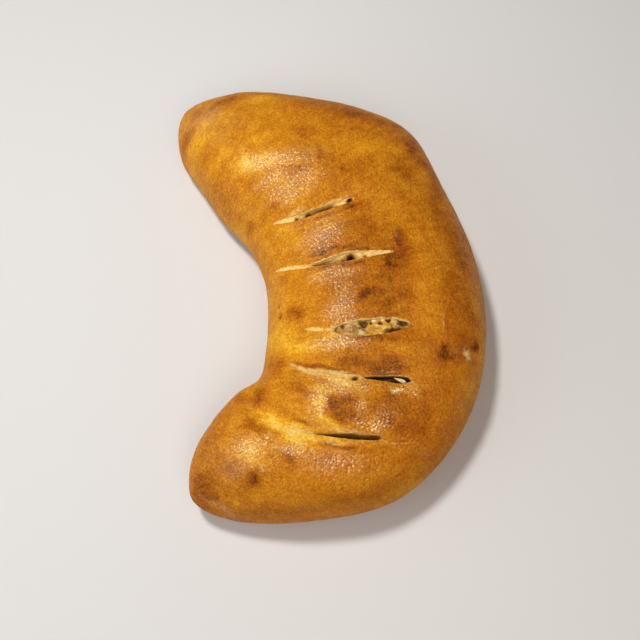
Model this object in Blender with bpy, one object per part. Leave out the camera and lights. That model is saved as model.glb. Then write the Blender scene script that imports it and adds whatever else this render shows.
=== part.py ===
"""A stromboli: a crescent of bread dough baked round a filling, slashed five times on top.

The loaf is lofted through ribs, which are upright cross-sections that run from its hollow
inner side to its bulging outer side. A smaller loft is taken out of the dough as the room
for the filling, and five slashes are cut through the top into it. The filling takes the
shape of that room.

Sizes below are millimetres and MM turns them into metres. X runs across the crescent,
towards its bulging side. Y runs along it. Z is up, and the flat base lies at Z = 0, with
the origin under the middle of the loaf's box.
"""
import bpy
from math import cos, exp, hypot, pi, sin, sqrt
from mathutils import Vector

MM = 0.001

# ---- Plan of the loaf -------------------------------------------------------------------
# Each rib is the widest line of one cross-section: its inner end, its outer end, and the
# height of the crest above the base. The two tips close the crescent.
BACK_TIP = (-79, 114)
FRONT_TIP = (-85, -118)
RIBS = (
    ((-78, 98), (-72, 132), 44),
    ((-69, 75), (-38, 134), 50),
    ((-58, 50), (3, 122), 56),
    ((-43, 28), (41, 106), 60),
    ((-36, 9), (65, 87), 61),
    ((-34, -5), (77, 47), 61),
    ((-35, -21), (86, 5), 61),
    ((-38, -40), (86, -37), 60),
    ((-44, -58), (76, -74), 59),
    ((-59, -66), (56, -105), 57),
    ((-72, -77), (23, -130), 54),
    ((-82, -91), (-24, -135), 50),
    ((-87, -104), (-67, -129), 42),
)

# ---- Cross-section ----------------------------------------------------------------------
WIDEST_LEVEL = 0.32     # height of the widest line, as a share of the section's height
DOME_POWER = 2.25       # 2 would be an ellipse, more is fuller in the shoulders
CREST_LEAN = 0.06       # how far the crest leans to the inner side, as a share of the width
BASE_EDGE = 13          # how far the rounded lower edge reaches in under the loaf
TIP_HEIGHT = 15         # the tips end in a point at this height, not on the floor
TIP_RISE = 48           # the crest climbs to its full height over this length

# ---- Dough and filling ------------------------------------------------------------------
DOUGH = 6               # thickness of the dough round the filling
FILLING_GAP = 0.4       # clearance between the filling and the dough

# ---- Slashes ----------------------------------------------------------------------------
# A slash is a knife cut across the crest: the points of its line in plan, the part of that
# line, by X, where it has opened down to the filling, and how wide it gapes there.
SLASHES = (
    (((-25, 24), (-11, 22.5), (1, 24.5), (23, 29.5)), (-11, 19), 3.2),
    (((-27, -2), (-7, -7.5), (15, -7), (39, -5.5)), (-6, 34), 4.6),
    (((-15, -42), (2, -46), (22, -48.5), (41, -48)), (2, 41), 9.0),
    (((-26, -58), (-19, -64), (-4, -69), (12, -75), (36, -78.5)), (12, 36), 5.0),
    (((-44, -82), (-22, -96.5), (2, -103), (17, -106), (38, -107)), (-15, 17), 4.2),
)
CUT_BOTTOM = 30         # the cutters end inside the room for the filling
CUT_TOP = 75            # and start above the crest
CUT_TAPER = 0.6         # a slash is narrower at its bottom by this factor
VALLEY_DEPTH = 1.8      # the dough sinks this much along a slash
VALLEY_WIDTH = 6.0

# The dough is pinched in from the inner corner of the bend down to the last slash.
PINCH = ((-43, -56), (-44, -68), (-45, -80), (-38, -88))
PINCH_DEPTH = 3.0
PINCH_WIDTH = 5.0

# ---- Fineness of the meshes -------------------------------------------------------------
LOAF_STEPS, LOAF_RING = 5, 36       # sections from rib to rib, and points round a section
ROOM_STEPS, ROOM_RING = 3, 20
SLASH_STEPS = 12

CRUST_COLOUR = (0.50, 0.22, 0.04, 1.0)
FILLING_COLOUR = (0.58, 0.42, 0.17, 1.0)


def clear_scene():
    for thing in list(bpy.data.objects):
        bpy.data.objects.remove(thing, do_unlink=True)


def make_material(name, colour, roughness):
    material = bpy.data.materials.new(name)
    material.use_nodes = True
    shader = material.node_tree.nodes["Principled BSDF"]
    shader.inputs["Base Color"].default_value = colour
    shader.inputs["Roughness"].default_value = roughness
    shader.inputs["Metallic"].default_value = 0.0
    return material


# ---- Curves -----------------------------------------------------------------------------

def spline_point(before, start, end, after, t):
    """A point on the smooth curve from start to end (centripetal Catmull-Rom)."""
    knot_start = sqrt((start - before).length)
    knot_end = knot_start + sqrt((end - start).length)
    knot_after = knot_end + sqrt((after - end).length)
    knot = knot_start + (knot_end - knot_start) * t
    a = before.lerp(start, knot / knot_start)
    b = start.lerp(end, t)
    c = end.lerp(after, (knot - knot_end) / (knot_after - knot_end))
    ab = a.lerp(b, knot / knot_end)
    bc = b.lerp(c, (knot - knot_start) / (knot_after - knot_start))
    return ab.lerp(bc, t)


def closed_curve(points, steps):
    """A smooth closed curve through the points, with so many steps from one to the next."""
    count = len(points)
    curve = []
    for i in range(count):
        around = [points[(i + k) % count] for k in (-1, 0, 1, 2)]
        curve += [spline_point(*around, t / steps) for t in range(steps)]
    return curve


def height_on_line(points, x):
    """Y of a smooth line at X. The points run from left to right, and the ends go straight on."""
    slopes = []
    for i in range(len(points)):
        left, right = points[max(i - 1, 0)], points[min(i + 1, len(points) - 1)]
        slopes.append((right[1] - left[1]) / (right[0] - left[0]))
    if x <= points[0][0]:
        return points[0][1] + slopes[0] * (x - points[0][0])
    if x >= points[-1][0]:
        return points[-1][1] + slopes[-1] * (x - points[-1][0])
    i = max(k for k in range(len(points) - 1) if points[k][0] <= x)
    (x0, y0), (x1, y1) = points[i], points[i + 1]
    run = x1 - x0
    t = (x - x0) / run
    smooth = t * t * (3 - 2 * t)
    ease_in = t * (1 - t) ** 2 * run * slopes[i]
    ease_out = t * t * (t - 1) * run * slopes[i + 1]
    return y0 + (y1 - y0) * smooth + ease_in + ease_out


def distance_to_path(x, y, path):
    """Distance in plan from a point to a line of straight pieces."""
    nearest = 1e9
    for (ax, ay), (bx, by) in zip(path, path[1:]):
        run_x, run_y = bx - ax, by - ay
        t = ((x - ax) * run_x + (y - ay) * run_y) / (run_x ** 2 + run_y ** 2)
        t = min(1, max(0, t))
        nearest = min(nearest, hypot(x - ax - t * run_x, y - ay - t * run_y))
    return nearest


# ---- Relief of the top ------------------------------------------------------------------

def slash_path(slash):
    """The line of a slash in plan, as short straight pieces."""
    points = slash[0]
    start, end = points[0][0], points[-1][0]
    steps = [start + (end - start) * i / SLASH_STEPS for i in range(SLASH_STEPS + 1)]
    return [(x, height_on_line(points, x)) for x in steps]


def relief(x, y, paths):
    """How far the top stands above or below the smooth dome at a place in plan."""
    swell = 0.7 * sin(x / 15 + 1.0) * cos(y / 21) + 0.5 * sin((x + 1.6 * y) / 12)
    valleys = sum(exp(-(distance_to_path(x, y, path) / VALLEY_WIDTH) ** 2) for path in paths)
    pinch = exp(-(distance_to_path(x, y, PINCH) / PINCH_WIDTH) ** 2)
    return swell - VALLEY_DEPTH * valleys - PINCH_DEPTH * pinch


# ---- Lofts ------------------------------------------------------------------------------

def rounded(share):
    """Height of a quarter circle over its share of the run, from 0 up to 1."""
    return sqrt(max(0, 1 - (1 - min(1, share)) ** 2))


def section_point(k, ring, width, low, high, widest):
    """One point of a cross-section, as (along the rib from its middle, height)."""
    angle = 2 * pi * k / ring
    across, up = cos(angle), sin(angle)
    side = 1 if across >= 0 else -1
    half = width / 2
    if up >= 0:
        along = side * half * abs(across) ** (2 / DOME_POWER) - CREST_LEAN * width * up * up
        return along, widest + (high - widest) * up ** (2 / DOME_POWER)
    edge = min(BASE_EDGE, 0.45 * width)
    turn = 1 - abs(((angle - pi) / (pi / 2)) - 1)
    corner_share = 0.6
    if turn < corner_share:
        corner = turn / corner_share * pi / 2
        return side * (half - edge + edge * cos(corner)), widest - (widest - low) * sin(corner)
    return side * (half - edge) * (1 - turn) / (1 - corner_share), low


def loft_sections(inset, steps, ring, paths):
    """The cross-sections of the loaf from tip to tip, all shrunk by the inset."""
    inner, outer = [], []
    for inner_end, outer_end, _ in RIBS:
        a, b = Vector(inner_end), Vector(outer_end)
        pull = (b - a).normalized() * inset
        inner.append(a + pull)
        outer.append(b - pull)
    tips = []
    for tip, rib in ((BACK_TIP, RIBS[0]), (FRONT_TIP, RIBS[-1])):
        tip = Vector(tip)
        middle = (Vector(rib[0]) + Vector(rib[1])) / 2
        tips.append(tip + (middle - tip).normalized() * inset)
    outline = closed_curve([tips[0]] + outer + [tips[1]] + inner[::-1], steps)
    spans = len(RIBS) + 1
    crests = [RIBS[0][2]] + [rib[2] for rib in RIBS] + [RIBS[-1][2]]
    sections = []
    for i in range(spans * steps + 1):
        a, b = outline[-i], outline[i]
        middle, width = (a + b) / 2, (b - a).length
        along_rib = (b - a).normalized()
        span = min(i // steps, spans - 1)
        share = i / steps - span
        crest = crests[span] * (1 - share) + crests[span + 1] * share - inset
        to_tip = min((middle - tip).length for tip in tips)
        high = TIP_HEIGHT + (crest - TIP_HEIGHT) * rounded(to_tip / TIP_RISE)
        low = TIP_HEIGHT - (TIP_HEIGHT - inset) * rounded(to_tip / TIP_HEIGHT)
        widest = low + WIDEST_LEVEL * (high - low)
        section = []
        for k in range(ring):
            along, z = section_point(k, ring, width, low, high, widest)
            x, y = middle + along_rib * along
            if paths and z > widest:
                z += relief(x, y, paths) * (z - widest) / (high - widest)
            section.append((x, y, z))
        sections.append(section)
    return sections


def make_object(name, points, faces, material=None):
    mesh = bpy.data.meshes.new(name)
    mesh.from_pydata([(x * MM, y * MM, z * MM) for x, y, z in points], [], faces)
    mesh.validate()
    mesh.shade_smooth()
    if material:
        mesh.materials.append(material)
    thing = bpy.data.objects.new(name, mesh)
    bpy.context.scene.collection.objects.link(thing)
    return thing


def make_loft(name, inset, steps, ring, paths=(), material=None):
    """A closed skin through the sections, drawn together to one point at each tip."""
    sections = loft_sections(inset, steps, ring, paths)
    first, last = sections[0][0], sections[-1][0]
    points = [first] + [point for section in sections[1:-1] for point in section] + [last]
    rows = len(sections) - 2
    end = len(points) - 1
    faces = []
    for k in range(ring):
        after = (k + 1) % ring
        faces.append((0, 1 + after, 1 + k))
        for row in range(rows - 1):
            start = 1 + row * ring
            faces.append((start + after, start + ring + after, start + ring + k, start + k))
        start = 1 + (rows - 1) * ring
        faces.append((end, start + k, start + after))
    return make_object(name, points, faces, material)


# ---- Slashes ----------------------------------------------------------------------------

def make_slash_cutter(number, slash):
    """A lens-shaped blade that follows the open part of a slash and narrows downwards."""
    points, (start, end), gape = slash
    rows = {CUT_TOP: [], CUT_BOTTOM: []}
    for z, side_points in rows.items():
        scale = 1 if z == CUT_TOP else CUT_TAPER
        one_side, other_side = [], []
        for i in range(SLASH_STEPS + 1):
            share = i / SLASH_STEPS
            x = start + (end - start) * share
            y = height_on_line(points, x)
            slope = height_on_line(points, x + 0.5) - height_on_line(points, x - 0.5)
            across = Vector((-slope, 1)).normalized() * gape / 2 * scale * sin(pi * share) ** 0.8
            one_side.append((x + across.x, y + across.y, z))
            if 0 < i < SLASH_STEPS:
                other_side.append((x - across.x, y - across.y, z))
        side_points += one_side[::-1] + other_side
    count = len(rows[CUT_TOP])
    corners = rows[CUT_TOP] + rows[CUT_BOTTOM]
    faces = [tuple(range(count)), tuple(range(2 * count - 1, count - 1, -1))]
    for k in range(count):
        after = (k + 1) % count
        faces.append((k, count + k, count + after, after))
    return make_object(f"slash_cutter_{number}", corners, faces)


def cut(thing, cutter):
    cutter.hide_render = True
    cutter.display_type = "WIRE"
    boolean = thing.modifiers.new(cutter.name, "BOOLEAN")
    boolean.operation = "DIFFERENCE"
    boolean.object = cutter
    boolean.solver = "EXACT"


def make_filling(room, material):
    """The filling takes the shape of its room, drawn in by the gap on every side."""
    mesh = room.data.copy()
    inward = [vertex.normal * -FILLING_GAP * MM for vertex in mesh.vertices]
    for vertex, step in zip(mesh.vertices, inward):
        vertex.co += step
    mesh.materials.append(material)
    filling = bpy.data.objects.new("filling", mesh)
    bpy.context.scene.collection.objects.link(filling)


def main():
    clear_scene()
    paths = [slash_path(slash) for slash in SLASHES]
    crust_material = make_material("baked_dough", CRUST_COLOUR, 0.42)
    filling_material = make_material("filling", FILLING_COLOUR, 0.55)
    crust = make_loft("crust", 0, LOAF_STEPS, LOAF_RING, paths, crust_material)
    room = make_loft("filling_room", DOUGH, ROOM_STEPS, ROOM_RING)
    cut(crust, room)
    for number, slash in enumerate(SLASHES, start=1):
        cut(crust, make_slash_cutter(number, slash))
    make_filling(room, filling_material)


main()
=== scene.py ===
# %% [markdown]
# # A stromboli, from the plain solid to the baked loaf
#
# A stromboli is pizza dough rolled round cheese and filling, bent into a crescent, slashed
# across the top and baked. The construction model already holds its true form and size. This
# lesson dresses it: a fine skin of dough with wrinkles, blisters and torn slashes, a moist
# filling that shows in the slashes, and finishes that bake from yellow to dark brown.

# %% The frame
from math import cos, pi, radians, sin

import bpy
import numpy as np
from mathutils import Matrix, Vector


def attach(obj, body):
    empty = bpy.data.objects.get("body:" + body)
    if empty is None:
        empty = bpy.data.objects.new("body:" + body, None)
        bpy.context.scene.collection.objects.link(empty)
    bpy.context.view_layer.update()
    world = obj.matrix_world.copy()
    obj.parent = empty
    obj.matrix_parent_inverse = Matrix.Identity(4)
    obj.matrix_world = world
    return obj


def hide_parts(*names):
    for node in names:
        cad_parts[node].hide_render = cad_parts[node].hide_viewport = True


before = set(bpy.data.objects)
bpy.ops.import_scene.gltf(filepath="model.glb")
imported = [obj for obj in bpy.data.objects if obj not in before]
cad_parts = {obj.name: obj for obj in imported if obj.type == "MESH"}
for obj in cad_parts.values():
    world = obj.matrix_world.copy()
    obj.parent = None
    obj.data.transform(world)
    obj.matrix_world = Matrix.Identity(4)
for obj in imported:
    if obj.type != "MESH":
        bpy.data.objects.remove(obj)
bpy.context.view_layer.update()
MM = 0.001

print("nodes:", sorted(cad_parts))

# %% [markdown]
# The loaf is seen from above and a little in front, by a camera that is turned slightly on
# its own axis. A camera can be placed by a matrix, but what it looks at, how far off it stands,
# how steeply it looks down and how much it rolls are clearer, so those four are written down.

# %% The camera
LOOK_AT = Vector((-0.0055, -0.0160, 0.0))
CAMERA_DISTANCE = 0.528
CAMERA_ELEVATION = radians(67.65)
CAMERA_ROLL = radians(-7.35)
CAMERA_LENS, CAMERA_SENSOR = 50, 36        # focal length and sensor width in mm
NEAREST_SEEN = 0.01


def add_camera():
    """The scene's camera, turned towards the loaf and rolled."""
    camera_data = bpy.data.cameras.new("camera")
    camera_data.lens = CAMERA_LENS
    camera_data.sensor_width = CAMERA_SENSOR
    camera_data.clip_start = NEAREST_SEEN
    camera = bpy.data.objects.new("camera", camera_data)
    bpy.context.scene.collection.objects.link(camera)
    back = Vector((0, -cos(CAMERA_ELEVATION), sin(CAMERA_ELEVATION))) * CAMERA_DISTANCE
    tilt = Matrix.Rotation(pi / 2 - CAMERA_ELEVATION, 4, "X")
    roll = Matrix.Rotation(CAMERA_ROLL, 4, "Z")
    camera.matrix_world = Matrix.Translation(LOOK_AT + back) @ tilt @ roll
    bpy.context.scene.camera = camera
    return camera


camera = add_camera()
print("camera at", [round(value, 3) for value in camera.matrix_world.translation])

# %% [markdown]
# ## The loaf's plan
#
# The loaf could be sculpted by hand, but its form follows a rule: every upright cross-section
# is a dome on a flat base, and only its place, width and height change along the crescent. So
# it is lofted. Each rib below gives the widest line of one cross-section in millimetres: its
# inner end, its outer end and the height of the crest. To a millimetre or two, the same ribs
# shape the solids.

# %% Ribs
BACK_TIP = (-78.6, 113.5)
FRONT_TIP = (-84.7, -117.5)
RIBS = (
    ((-78.6, 97.5), (-72, 132.5), 44),
    ((-68.6, 75), (-38, 134), 50),
    ((-57, 50.5), (3, 122), 56),
    ((-42.4, 28.5), (41, 105.5), 60),
    ((-35.7, 9), (64.4, 86.3), 61),
    ((-33.8, -5), (77.3, 47), 61),
    ((-34.6, -21), (86.6, 5), 61),
    ((-37.6, -40), (87, -37), 60),
    ((-43.6, -58), (77, -74.6), 59),
    ((-58.5, -66), (56.8, -105.7), 57),
    ((-70.8, -77.6), (23, -130), 54),
    ((-81.2, -91.4), (-24, -135), 50),
    ((-86.6, -104), (-66.6, -128.4), 42),
)
TABLE_STEPS = 120
SPANS = len(RIBS) + 1


def closed_curve(points, steps):
    """A smooth closed curve through the points (centripetal Catmull-Rom), as a fine table."""
    knots = np.array(points, float)
    before, start, end, after = (np.roll(knots, k, axis=0)[:, None] for k in (1, 0, -1, -2))
    to_start = np.sqrt(np.linalg.norm(start - before, axis=2, keepdims=True))
    to_end = to_start + np.sqrt(np.linalg.norm(end - start, axis=2, keepdims=True))
    to_after = to_end + np.sqrt(np.linalg.norm(after - end, axis=2, keepdims=True))
    t = np.linspace(0, 1, steps, endpoint=False)[None, :, None]
    knot = to_start + (to_end - to_start) * t
    a = before + (start - before) * knot / to_start
    b = start + (end - start) * t
    c = end + (after - end) * (knot - to_end) / (to_after - to_end)
    ab = a + (b - a) * knot / to_end
    bc = b + (c - b) * (knot - to_start) / (to_after - to_start)
    return (ab + (bc - ab) * t).reshape(-1, knots.shape[1])


def rail_tables(inset):
    """The inner and the outer edge of the loaf from tip to tip, drawn in by the inset."""
    inner, outer = [], []
    for inner_end, outer_end, crest in RIBS:
        a, b = Vector(inner_end), Vector(outer_end)
        pull = (b - a).normalized() * inset
        inner.append((*(a + pull), crest))
        outer.append((*(b - pull), crest))
    tips = []
    for tip, rib in ((BACK_TIP, RIBS[0]), (FRONT_TIP, RIBS[-1])):
        tip = Vector(tip)
        middle = (Vector(rib[0]) + Vector(rib[1])) / 2
        tips.append((*(tip + (middle - tip).normalized() * inset), rib[2]))
    table = closed_curve([tips[0]] + outer + [tips[1]] + inner[::-1], TABLE_STEPS)
    half = SPANS * TABLE_STEPS
    outer_rail = table[: half + 1]
    inner_rail = np.vstack([table[half:], table[:1]])[::-1]
    return inner_rail, outer_rail


loaf_rails = rail_tables(0)
print("loaf plan:", len(RIBS), "ribs, rail tables of", len(loaf_rails[0]), "points")

# %% [markdown]
# Between the two rails every section is the same kind of dome: a little fuller than an ellipse,
# leaning inwards, on a flat base with a rounded edge. At the tips it shrinks to a point. One
# function gives the place of any point by s, from tip to tip, and by the angle round the
# section, so the crust, its slashes and the core can all ask it where the loaf's skin is.

# %% The cross-section
WIDEST_LEVEL = 0.32                     # where the section is widest, as a share of its height
DOME_POWER = 2.25                       # 2 is an ellipse, and more is fuller
CREST_LEAN = 0.06                       # how far the crest leans inwards, in widths
BASE_EDGE, BASE_EDGE_SHARE = 13, 0.45   # the base's rounded edge: in mm, and in widths at most
CORNER_SHARE = 0.6                      # how much of the base's turn is that rounded edge
TIP_HEIGHT, TIP_RISE = 15, 48           # height of the tips, and the run to full height, in mm


def read_rail(rail, s):
    """The rail's points at s, which runs from 0 at the back tip to 1 at the front tip."""
    place = np.clip(s, 0, 1) * (len(rail) - 1)
    steps = np.arange(len(rail))
    return np.stack([np.interp(place, steps, rail[:, k]) for k in range(3)], axis=-1)


def rounded(share):
    """Height of a quarter circle over its share of the run, from 0 up to 1."""
    return np.sqrt(np.clip(1 - (1 - np.minimum(1, share)) ** 2, 0, 1))


def smooth_skin(s, angle, rails, inset=0.0):
    """Points of the smooth loaf, and how far up its dome each one lies."""
    s, angle = np.broadcast_arrays(s, angle)
    a, b = read_rail(rails[0], s), read_rail(rails[1], s)
    middle = (a[..., :2] + b[..., :2]) / 2
    across = b[..., :2] - a[..., :2]
    width = np.maximum(np.linalg.norm(across, axis=-1), 1e-6)
    crest = (a[..., 2] + b[..., 2]) / 2 - inset
    ends = [read_rail(rails[0], np.float64(end))[:2] for end in (0, 1)]
    to_tip = np.minimum(*(np.linalg.norm(middle - end, axis=-1) for end in ends))
    high = TIP_HEIGHT + (crest - TIP_HEIGHT) * rounded(to_tip / TIP_RISE)
    low = TIP_HEIGHT - (TIP_HEIGHT - inset) * rounded(to_tip / TIP_HEIGHT)
    widest = low + WIDEST_LEVEL * (high - low)
    side = np.where(np.cos(angle) >= 0, 1.0, -1.0)
    level, rise = np.abs(np.cos(angle)), np.clip(np.sin(angle), 0, 1)
    dome_along = side * width / 2 * level ** (2 / DOME_POWER) - CREST_LEAN * width * rise ** 2
    dome_z = widest + (high - widest) * rise ** (2 / DOME_POWER)
    edge = np.minimum(BASE_EDGE, BASE_EDGE_SHARE * width)
    turn = 1 - np.abs((angle - pi) / (pi / 2) - 1)
    corner = np.clip(turn / CORNER_SHARE, 0, 1) * pi / 2
    flat_share = np.clip((1 - turn) / (1 - CORNER_SHARE), 0, 1)
    corner_along = side * (width / 2 - edge + edge * np.cos(corner))
    base_along = np.where(turn < CORNER_SHARE, corner_along, side * (width / 2 - edge) * flat_share)
    base_z = np.where(turn < CORNER_SHARE, widest - (widest - low) * np.sin(corner), low)
    is_dome = np.sin(angle) >= 0
    along = np.where(is_dome, dome_along, base_along)
    plan = middle + across / width[..., None] * along[..., None]
    up_share = np.clip((dome_z - widest) / np.maximum(high - widest, 1e-6), 0, 1)
    points = np.dstack([plan, np.where(is_dome, dome_z, base_z)])
    return points, np.where(is_dome, up_share, 0.0)


middle_s, crest_turn = np.array([[0.5]]), np.array([[pi / 2]])
print("crest at the middle of the loaf:", smooth_skin(middle_s, crest_turn, loaf_rails)[0].round(1))

# %% [markdown]
# ## Where the knife went
#
# Five slashes cross the crest. Each is a line in plan, drawn through a few points, with a
# stretch that has torn open down to the filling. The rest of the line is a pale scar. Carving
# them with a Boolean would leave hard, even edges. Instead the grid of the skin is bent so
# that a bundle of its rows runs along every slash, and those rows are then pushed into the
# profile of a torn cut: a raised dry lip, a steep wall and a bottom darkened by painted shade.

# %% Slash lines
# Each cut, in mm: the points of its line, the width of its pale rim behind and in front of it,
# how far its bottom leans to the front, how deep its wall stays pale, how much painted shade
# darkens its bottom, how pale its scar is, the holes in its crumb (x, across, radius, depth),
# and stations along it (x, half width, depth). A shallow stretch is a scar, a deep one is torn.
SLASHES = (
    {
        "line": ((-25, 24), (-11, 22.5), (1, 24.5), (23, 29.5)),
        "rim": (0.6, 0.0),
        "lean": 0.5,
        "crumb": 1.0,
        "dark": 0.62,
        "scar": 0.9,
        "holes": ((-11, 0.5, 1.0, 3.0), (-4.3, 0.5, 1.4, 5.0), (19.2, 0.3, 1.2, 7.0)),
        "cut": (
            (-25, 0.0, 0.1), (-21, 0.7, 0.5), (-16, 1.3, 0.7), (-13.5, 1.2, 0.8), (-10, 1.3, 1.5),
            (-6, 1.5, 2.4), (-2, 1.6, 3.0), (2, 1.6, 4.0), (7, 1.5, 4.0), (9.5, 1.4, 3.2),
            (12, 1.3, 1.6), (16, 1.3, 0.9), (18, 1.1, 1.0), (20.3, 0.8, 1.0), (22, 0.0, 0.1),
        ),
    },
    {
        "line": ((-27, -1.8), (-7, -7), (15, -6.4), (39, -5.5)),
        "rim": (0.8, 0.3),
        "lean": 0.5,
        "crumb": 1.2,
        "dark": 0.78,
        "scar": 0.8,
        "holes": ((15.2, 0.1, 1.5, 9.0), (23.0, 0.9, 0.9, 3.0), (11.0, 1.0, 0.7, 2.0)),
        "cut": (
            (-27, 0.0, 0.1), (-24, 0.6, 0.4), (-16, 0.9, 0.6), (-9, 0.8, 0.6), (-7, 0.5, 1.2),
            (-4, 0.9, 3.6), (1, 1.5, 3.4), (4, 1.9, 2.9), (8, 2.2, 2.4), (12, 2.4, 2.6),
            (15.4, 2.4, 3.0), (18, 2.2, 2.2), (21, 1.9, 1.4), (26, 1.6, 0.9), (32, 1.1, 0.8),
            (36, 0.6, 0.5), (39, 0.0, 0.1),
        ),
    },
    {
        "line": ((-15, -42), (2, -45.9), (22, -47.9), (41, -48)),
        "rim": (0.9, 0.1),
        "lean": 0.0,
        "crumb": 0.9,
        "dark": 0.8,
        "scar": 0.8,
        "holes": (),
        "cut": (
            (-15, 0.0, 0.1), (-12, 0.5, 0.4), (-9, 1.1, 0.7), (-6, 0.6, 0.4), (-3, 0.4, 0.3),
            (0, 0.5, 0.6), (1.6, 0.8, 1.5), (3, 1.8, 6.0), (6, 2.9, 11), (12, 3.9, 11),
            (18, 4.4, 11), (26, 4.3, 11), (31, 3.8, 11), (35, 3.0, 11), (38, 2.1, 11),
            (40, 1.3, 8.0), (41.4, 0.2, 1.0), (43, 0.0, 0.1),
        ),
    },
    {
        "line": ((-26, -58), (-19, -64), (-4, -69), (8, -72.8), (14, -73.6), (22, -74.9),
                 (30, -76.4), (36, -77.5)),
        "rim": (0.2, 0.12),
        "lean": -0.7,
        "crumb": 0.4,
        "dark": 0.86,
        "scar": 0.34,
        "holes": ((8.6, 1.1, 1.4, 3.0),),
        "cut": (
            (-26, 0.0, 0.1), (-23, 0.7, 0.5), (-18, 1.5, 0.7), (-8, 1.9, 0.8), (-2, 1.8, 0.7),
            (4, 1.6, 0.6), (8.6, 2.1, 0.7), (11, 1.3, 0.7), (12.5, 0.4, 0.7),
            (14, 0.5, 2.0), (18, 0.9, 5.0), (22, 1.3, 9.0), (26, 1.7, 9.0), (30, 2.0, 9.0),
            (33, 1.9, 8.0), (35, 1.4, 6.0), (36.4, 0.4, 1.5), (37.4, 0.0, 0.1),
        ),
    },
    {
        "line": ((-44, -82), (-22, -96), (2, -102.1), (10, -103.6), (16.5, -104.5), (20, -106.2),
                 (38, -107)),
        "rim": (0.12, 0.25),
        "lean": 0.35,
        "crumb": 0.3,
        "dark": 0.50,
        "scar": 0.3,
        "holes": (),
        "cut": (
            (-44, 0.0, 0.1), (-30, 0.0, 0.3), (-24, 0.8, 0.6), (-18, 0.7, 0.8), (-15, 0.4, 1.2),
            (-10, 0.5, 2.5), (-6, 0.95, 4.0), (0, 1.3, 5.0), (3, 1.6, 5.0), (6, 1.35, 5.0),
            (11, 1.25, 5.0), (15, 1.35, 5.0), (16.4, 1.1, 4.0), (17.3, 0.3, 0.8), (20, 0.35, 0.35),
            (32, 0.35, 0.35), (37, 0.3, 0.3), (39, 0.0, 0.1),
        ),
    },
)
widest_half = max(half for slash in SLASHES for _, half, _ in slash["cut"])
print("slashes:", len(SLASHES), "widest:", 2 * widest_half, "mm")

# %% [markdown]
# A few points say where a slash runs, and a smooth line joins them. The edge of a cut in soft
# dough is never straight, so its width wanders a little. Random steps would leave it jagged,
# so the wandering is a sum of waves.

# %% Reading a slash
LEAST_HALF = 0.4        # rows keep this far apart in mm where the cut closes
EDGE_WANDER = 0.07      # how unevenly the knife's edge runs, as a share of the half width


def line_height(points, x):
    """Y of a smooth line at X. The ends go straight on."""
    px, py = np.array(points, float).T
    slopes = np.gradient(py, px)
    i = np.clip(np.searchsorted(px, x) - 1, 0, len(px) - 2)
    run = px[i + 1] - px[i]
    t = (x - px[i]) / run
    smooth = t * t * (3 - 2 * t)
    ease = t * (1 - t) ** 2 * slopes[i] + t * t * (t - 1) * slopes[i + 1]
    inside = py[i] + (py[i + 1] - py[i]) * smooth + ease * run
    before = py[0] + slopes[0] * (x - px[0])
    beyond = py[-1] + slopes[-1] * (x - px[-1])
    return np.where(x < px[0], before, np.where(x > px[-1], beyond, inside))


def uneven(x, seed):
    """A wandering line between about -1 and 1, the same each time for one seed."""
    waves = ((0.55, 9.0), (0.3, 4.1), (0.25, 2.3))     # height and length in mm
    return sum(high * np.sin(2 * pi * x / run + seed * (1.7 + run)) for high, run in waves)


def cut_shape(slash, x, side, seed):
    """Half width and depth of the cut at X, on its back (-1) or its front (1) side."""
    stations, halves, depths = np.array(slash["cut"]).T
    half = np.interp(x, stations, halves, left=0, right=0)
    depth = np.interp(x, stations, depths, left=0, right=0)
    half = half * (1 + EDGE_WANDER * uneven(x, seed + side))
    return half, depth


def hole_depth(slash, x, across):
    """How much deeper the torn dough goes in the small holes of its crumb."""
    deeper = 0 * x
    for hole_x, hole_across, radius, depth in slash["holes"]:
        away = np.hypot(x - hole_x, across - hole_across) / radius
        deeper = deeper + depth * np.exp(-(away ** 3))
    return deeper


def across_slash(slash, points):
    """How far in front of the slash's line each point lies."""
    return line_height(slash["line"], points[..., 0]) - points[..., 1]


middle_lines = [float(line_height(slash["line"], 10.0).round(1)) for slash in SLASHES]
print("Y of the slashes at X = 10 mm:", middle_lines)

# %% [markdown]
# ## A grid that follows the slashes
#
# Every column of the grid is a fixed angle round the section. Along a column, the place where
# it crosses each slash line is found by looking for the change of side. Rows are then spread
# evenly between one slash and the next, and bunched in fixed steps beside the slash itself.

# %% Rows and columns
DOME_COLUMNS = 196
BASE_COLUMNS = 32
CREST_TURN, CREST_SPREAD, CREST_CROWDING = 1.83, 0.6, 0.9  # where the columns crowd
ROW_PITCH = 1.42                                   # mm between two rows on the plain skin
PIT_ROWS = (0.0, 0.3, 0.58, 0.78, 0.9, 0.97)       # shares of the half width
LIP_ROWS = (0.0, 0.3, 0.8, 1.5, 2.4, 3.4)          # steps outwards from the edge, in mm
FAR = 99.0                                         # reach of a row that is beside no slash
SLASHED_STRETCH = (0.12, 0.93)                     # the part of s that is searched for slashes
SEARCH_STEPS, TURN_STEPS = 1600, 2000
LEAST_ROWS = 4                                     # between two slashes
LEAST_RATE = 60.0                                  # mm along the loaf for one unit of s


def column_angles():
    """Turns round the section. The columns stand closer together where the slashes are."""
    turn = np.linspace(0, pi, TURN_STEPS)
    density = 1 + CREST_CROWDING * np.exp(-(((turn - CREST_TURN) / CREST_SPREAD) ** 2))
    amount = np.concatenate([[0], np.cumsum((density[1:] + density[:-1]) / 2)])
    wanted = np.linspace(0, amount[-1], DOME_COLUMNS, endpoint=False)
    dome = np.interp(wanted, amount, turn)
    base = np.linspace(pi, 2 * pi, BASE_COLUMNS, endpoint=False)
    return np.concatenate([dome, base])


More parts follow.
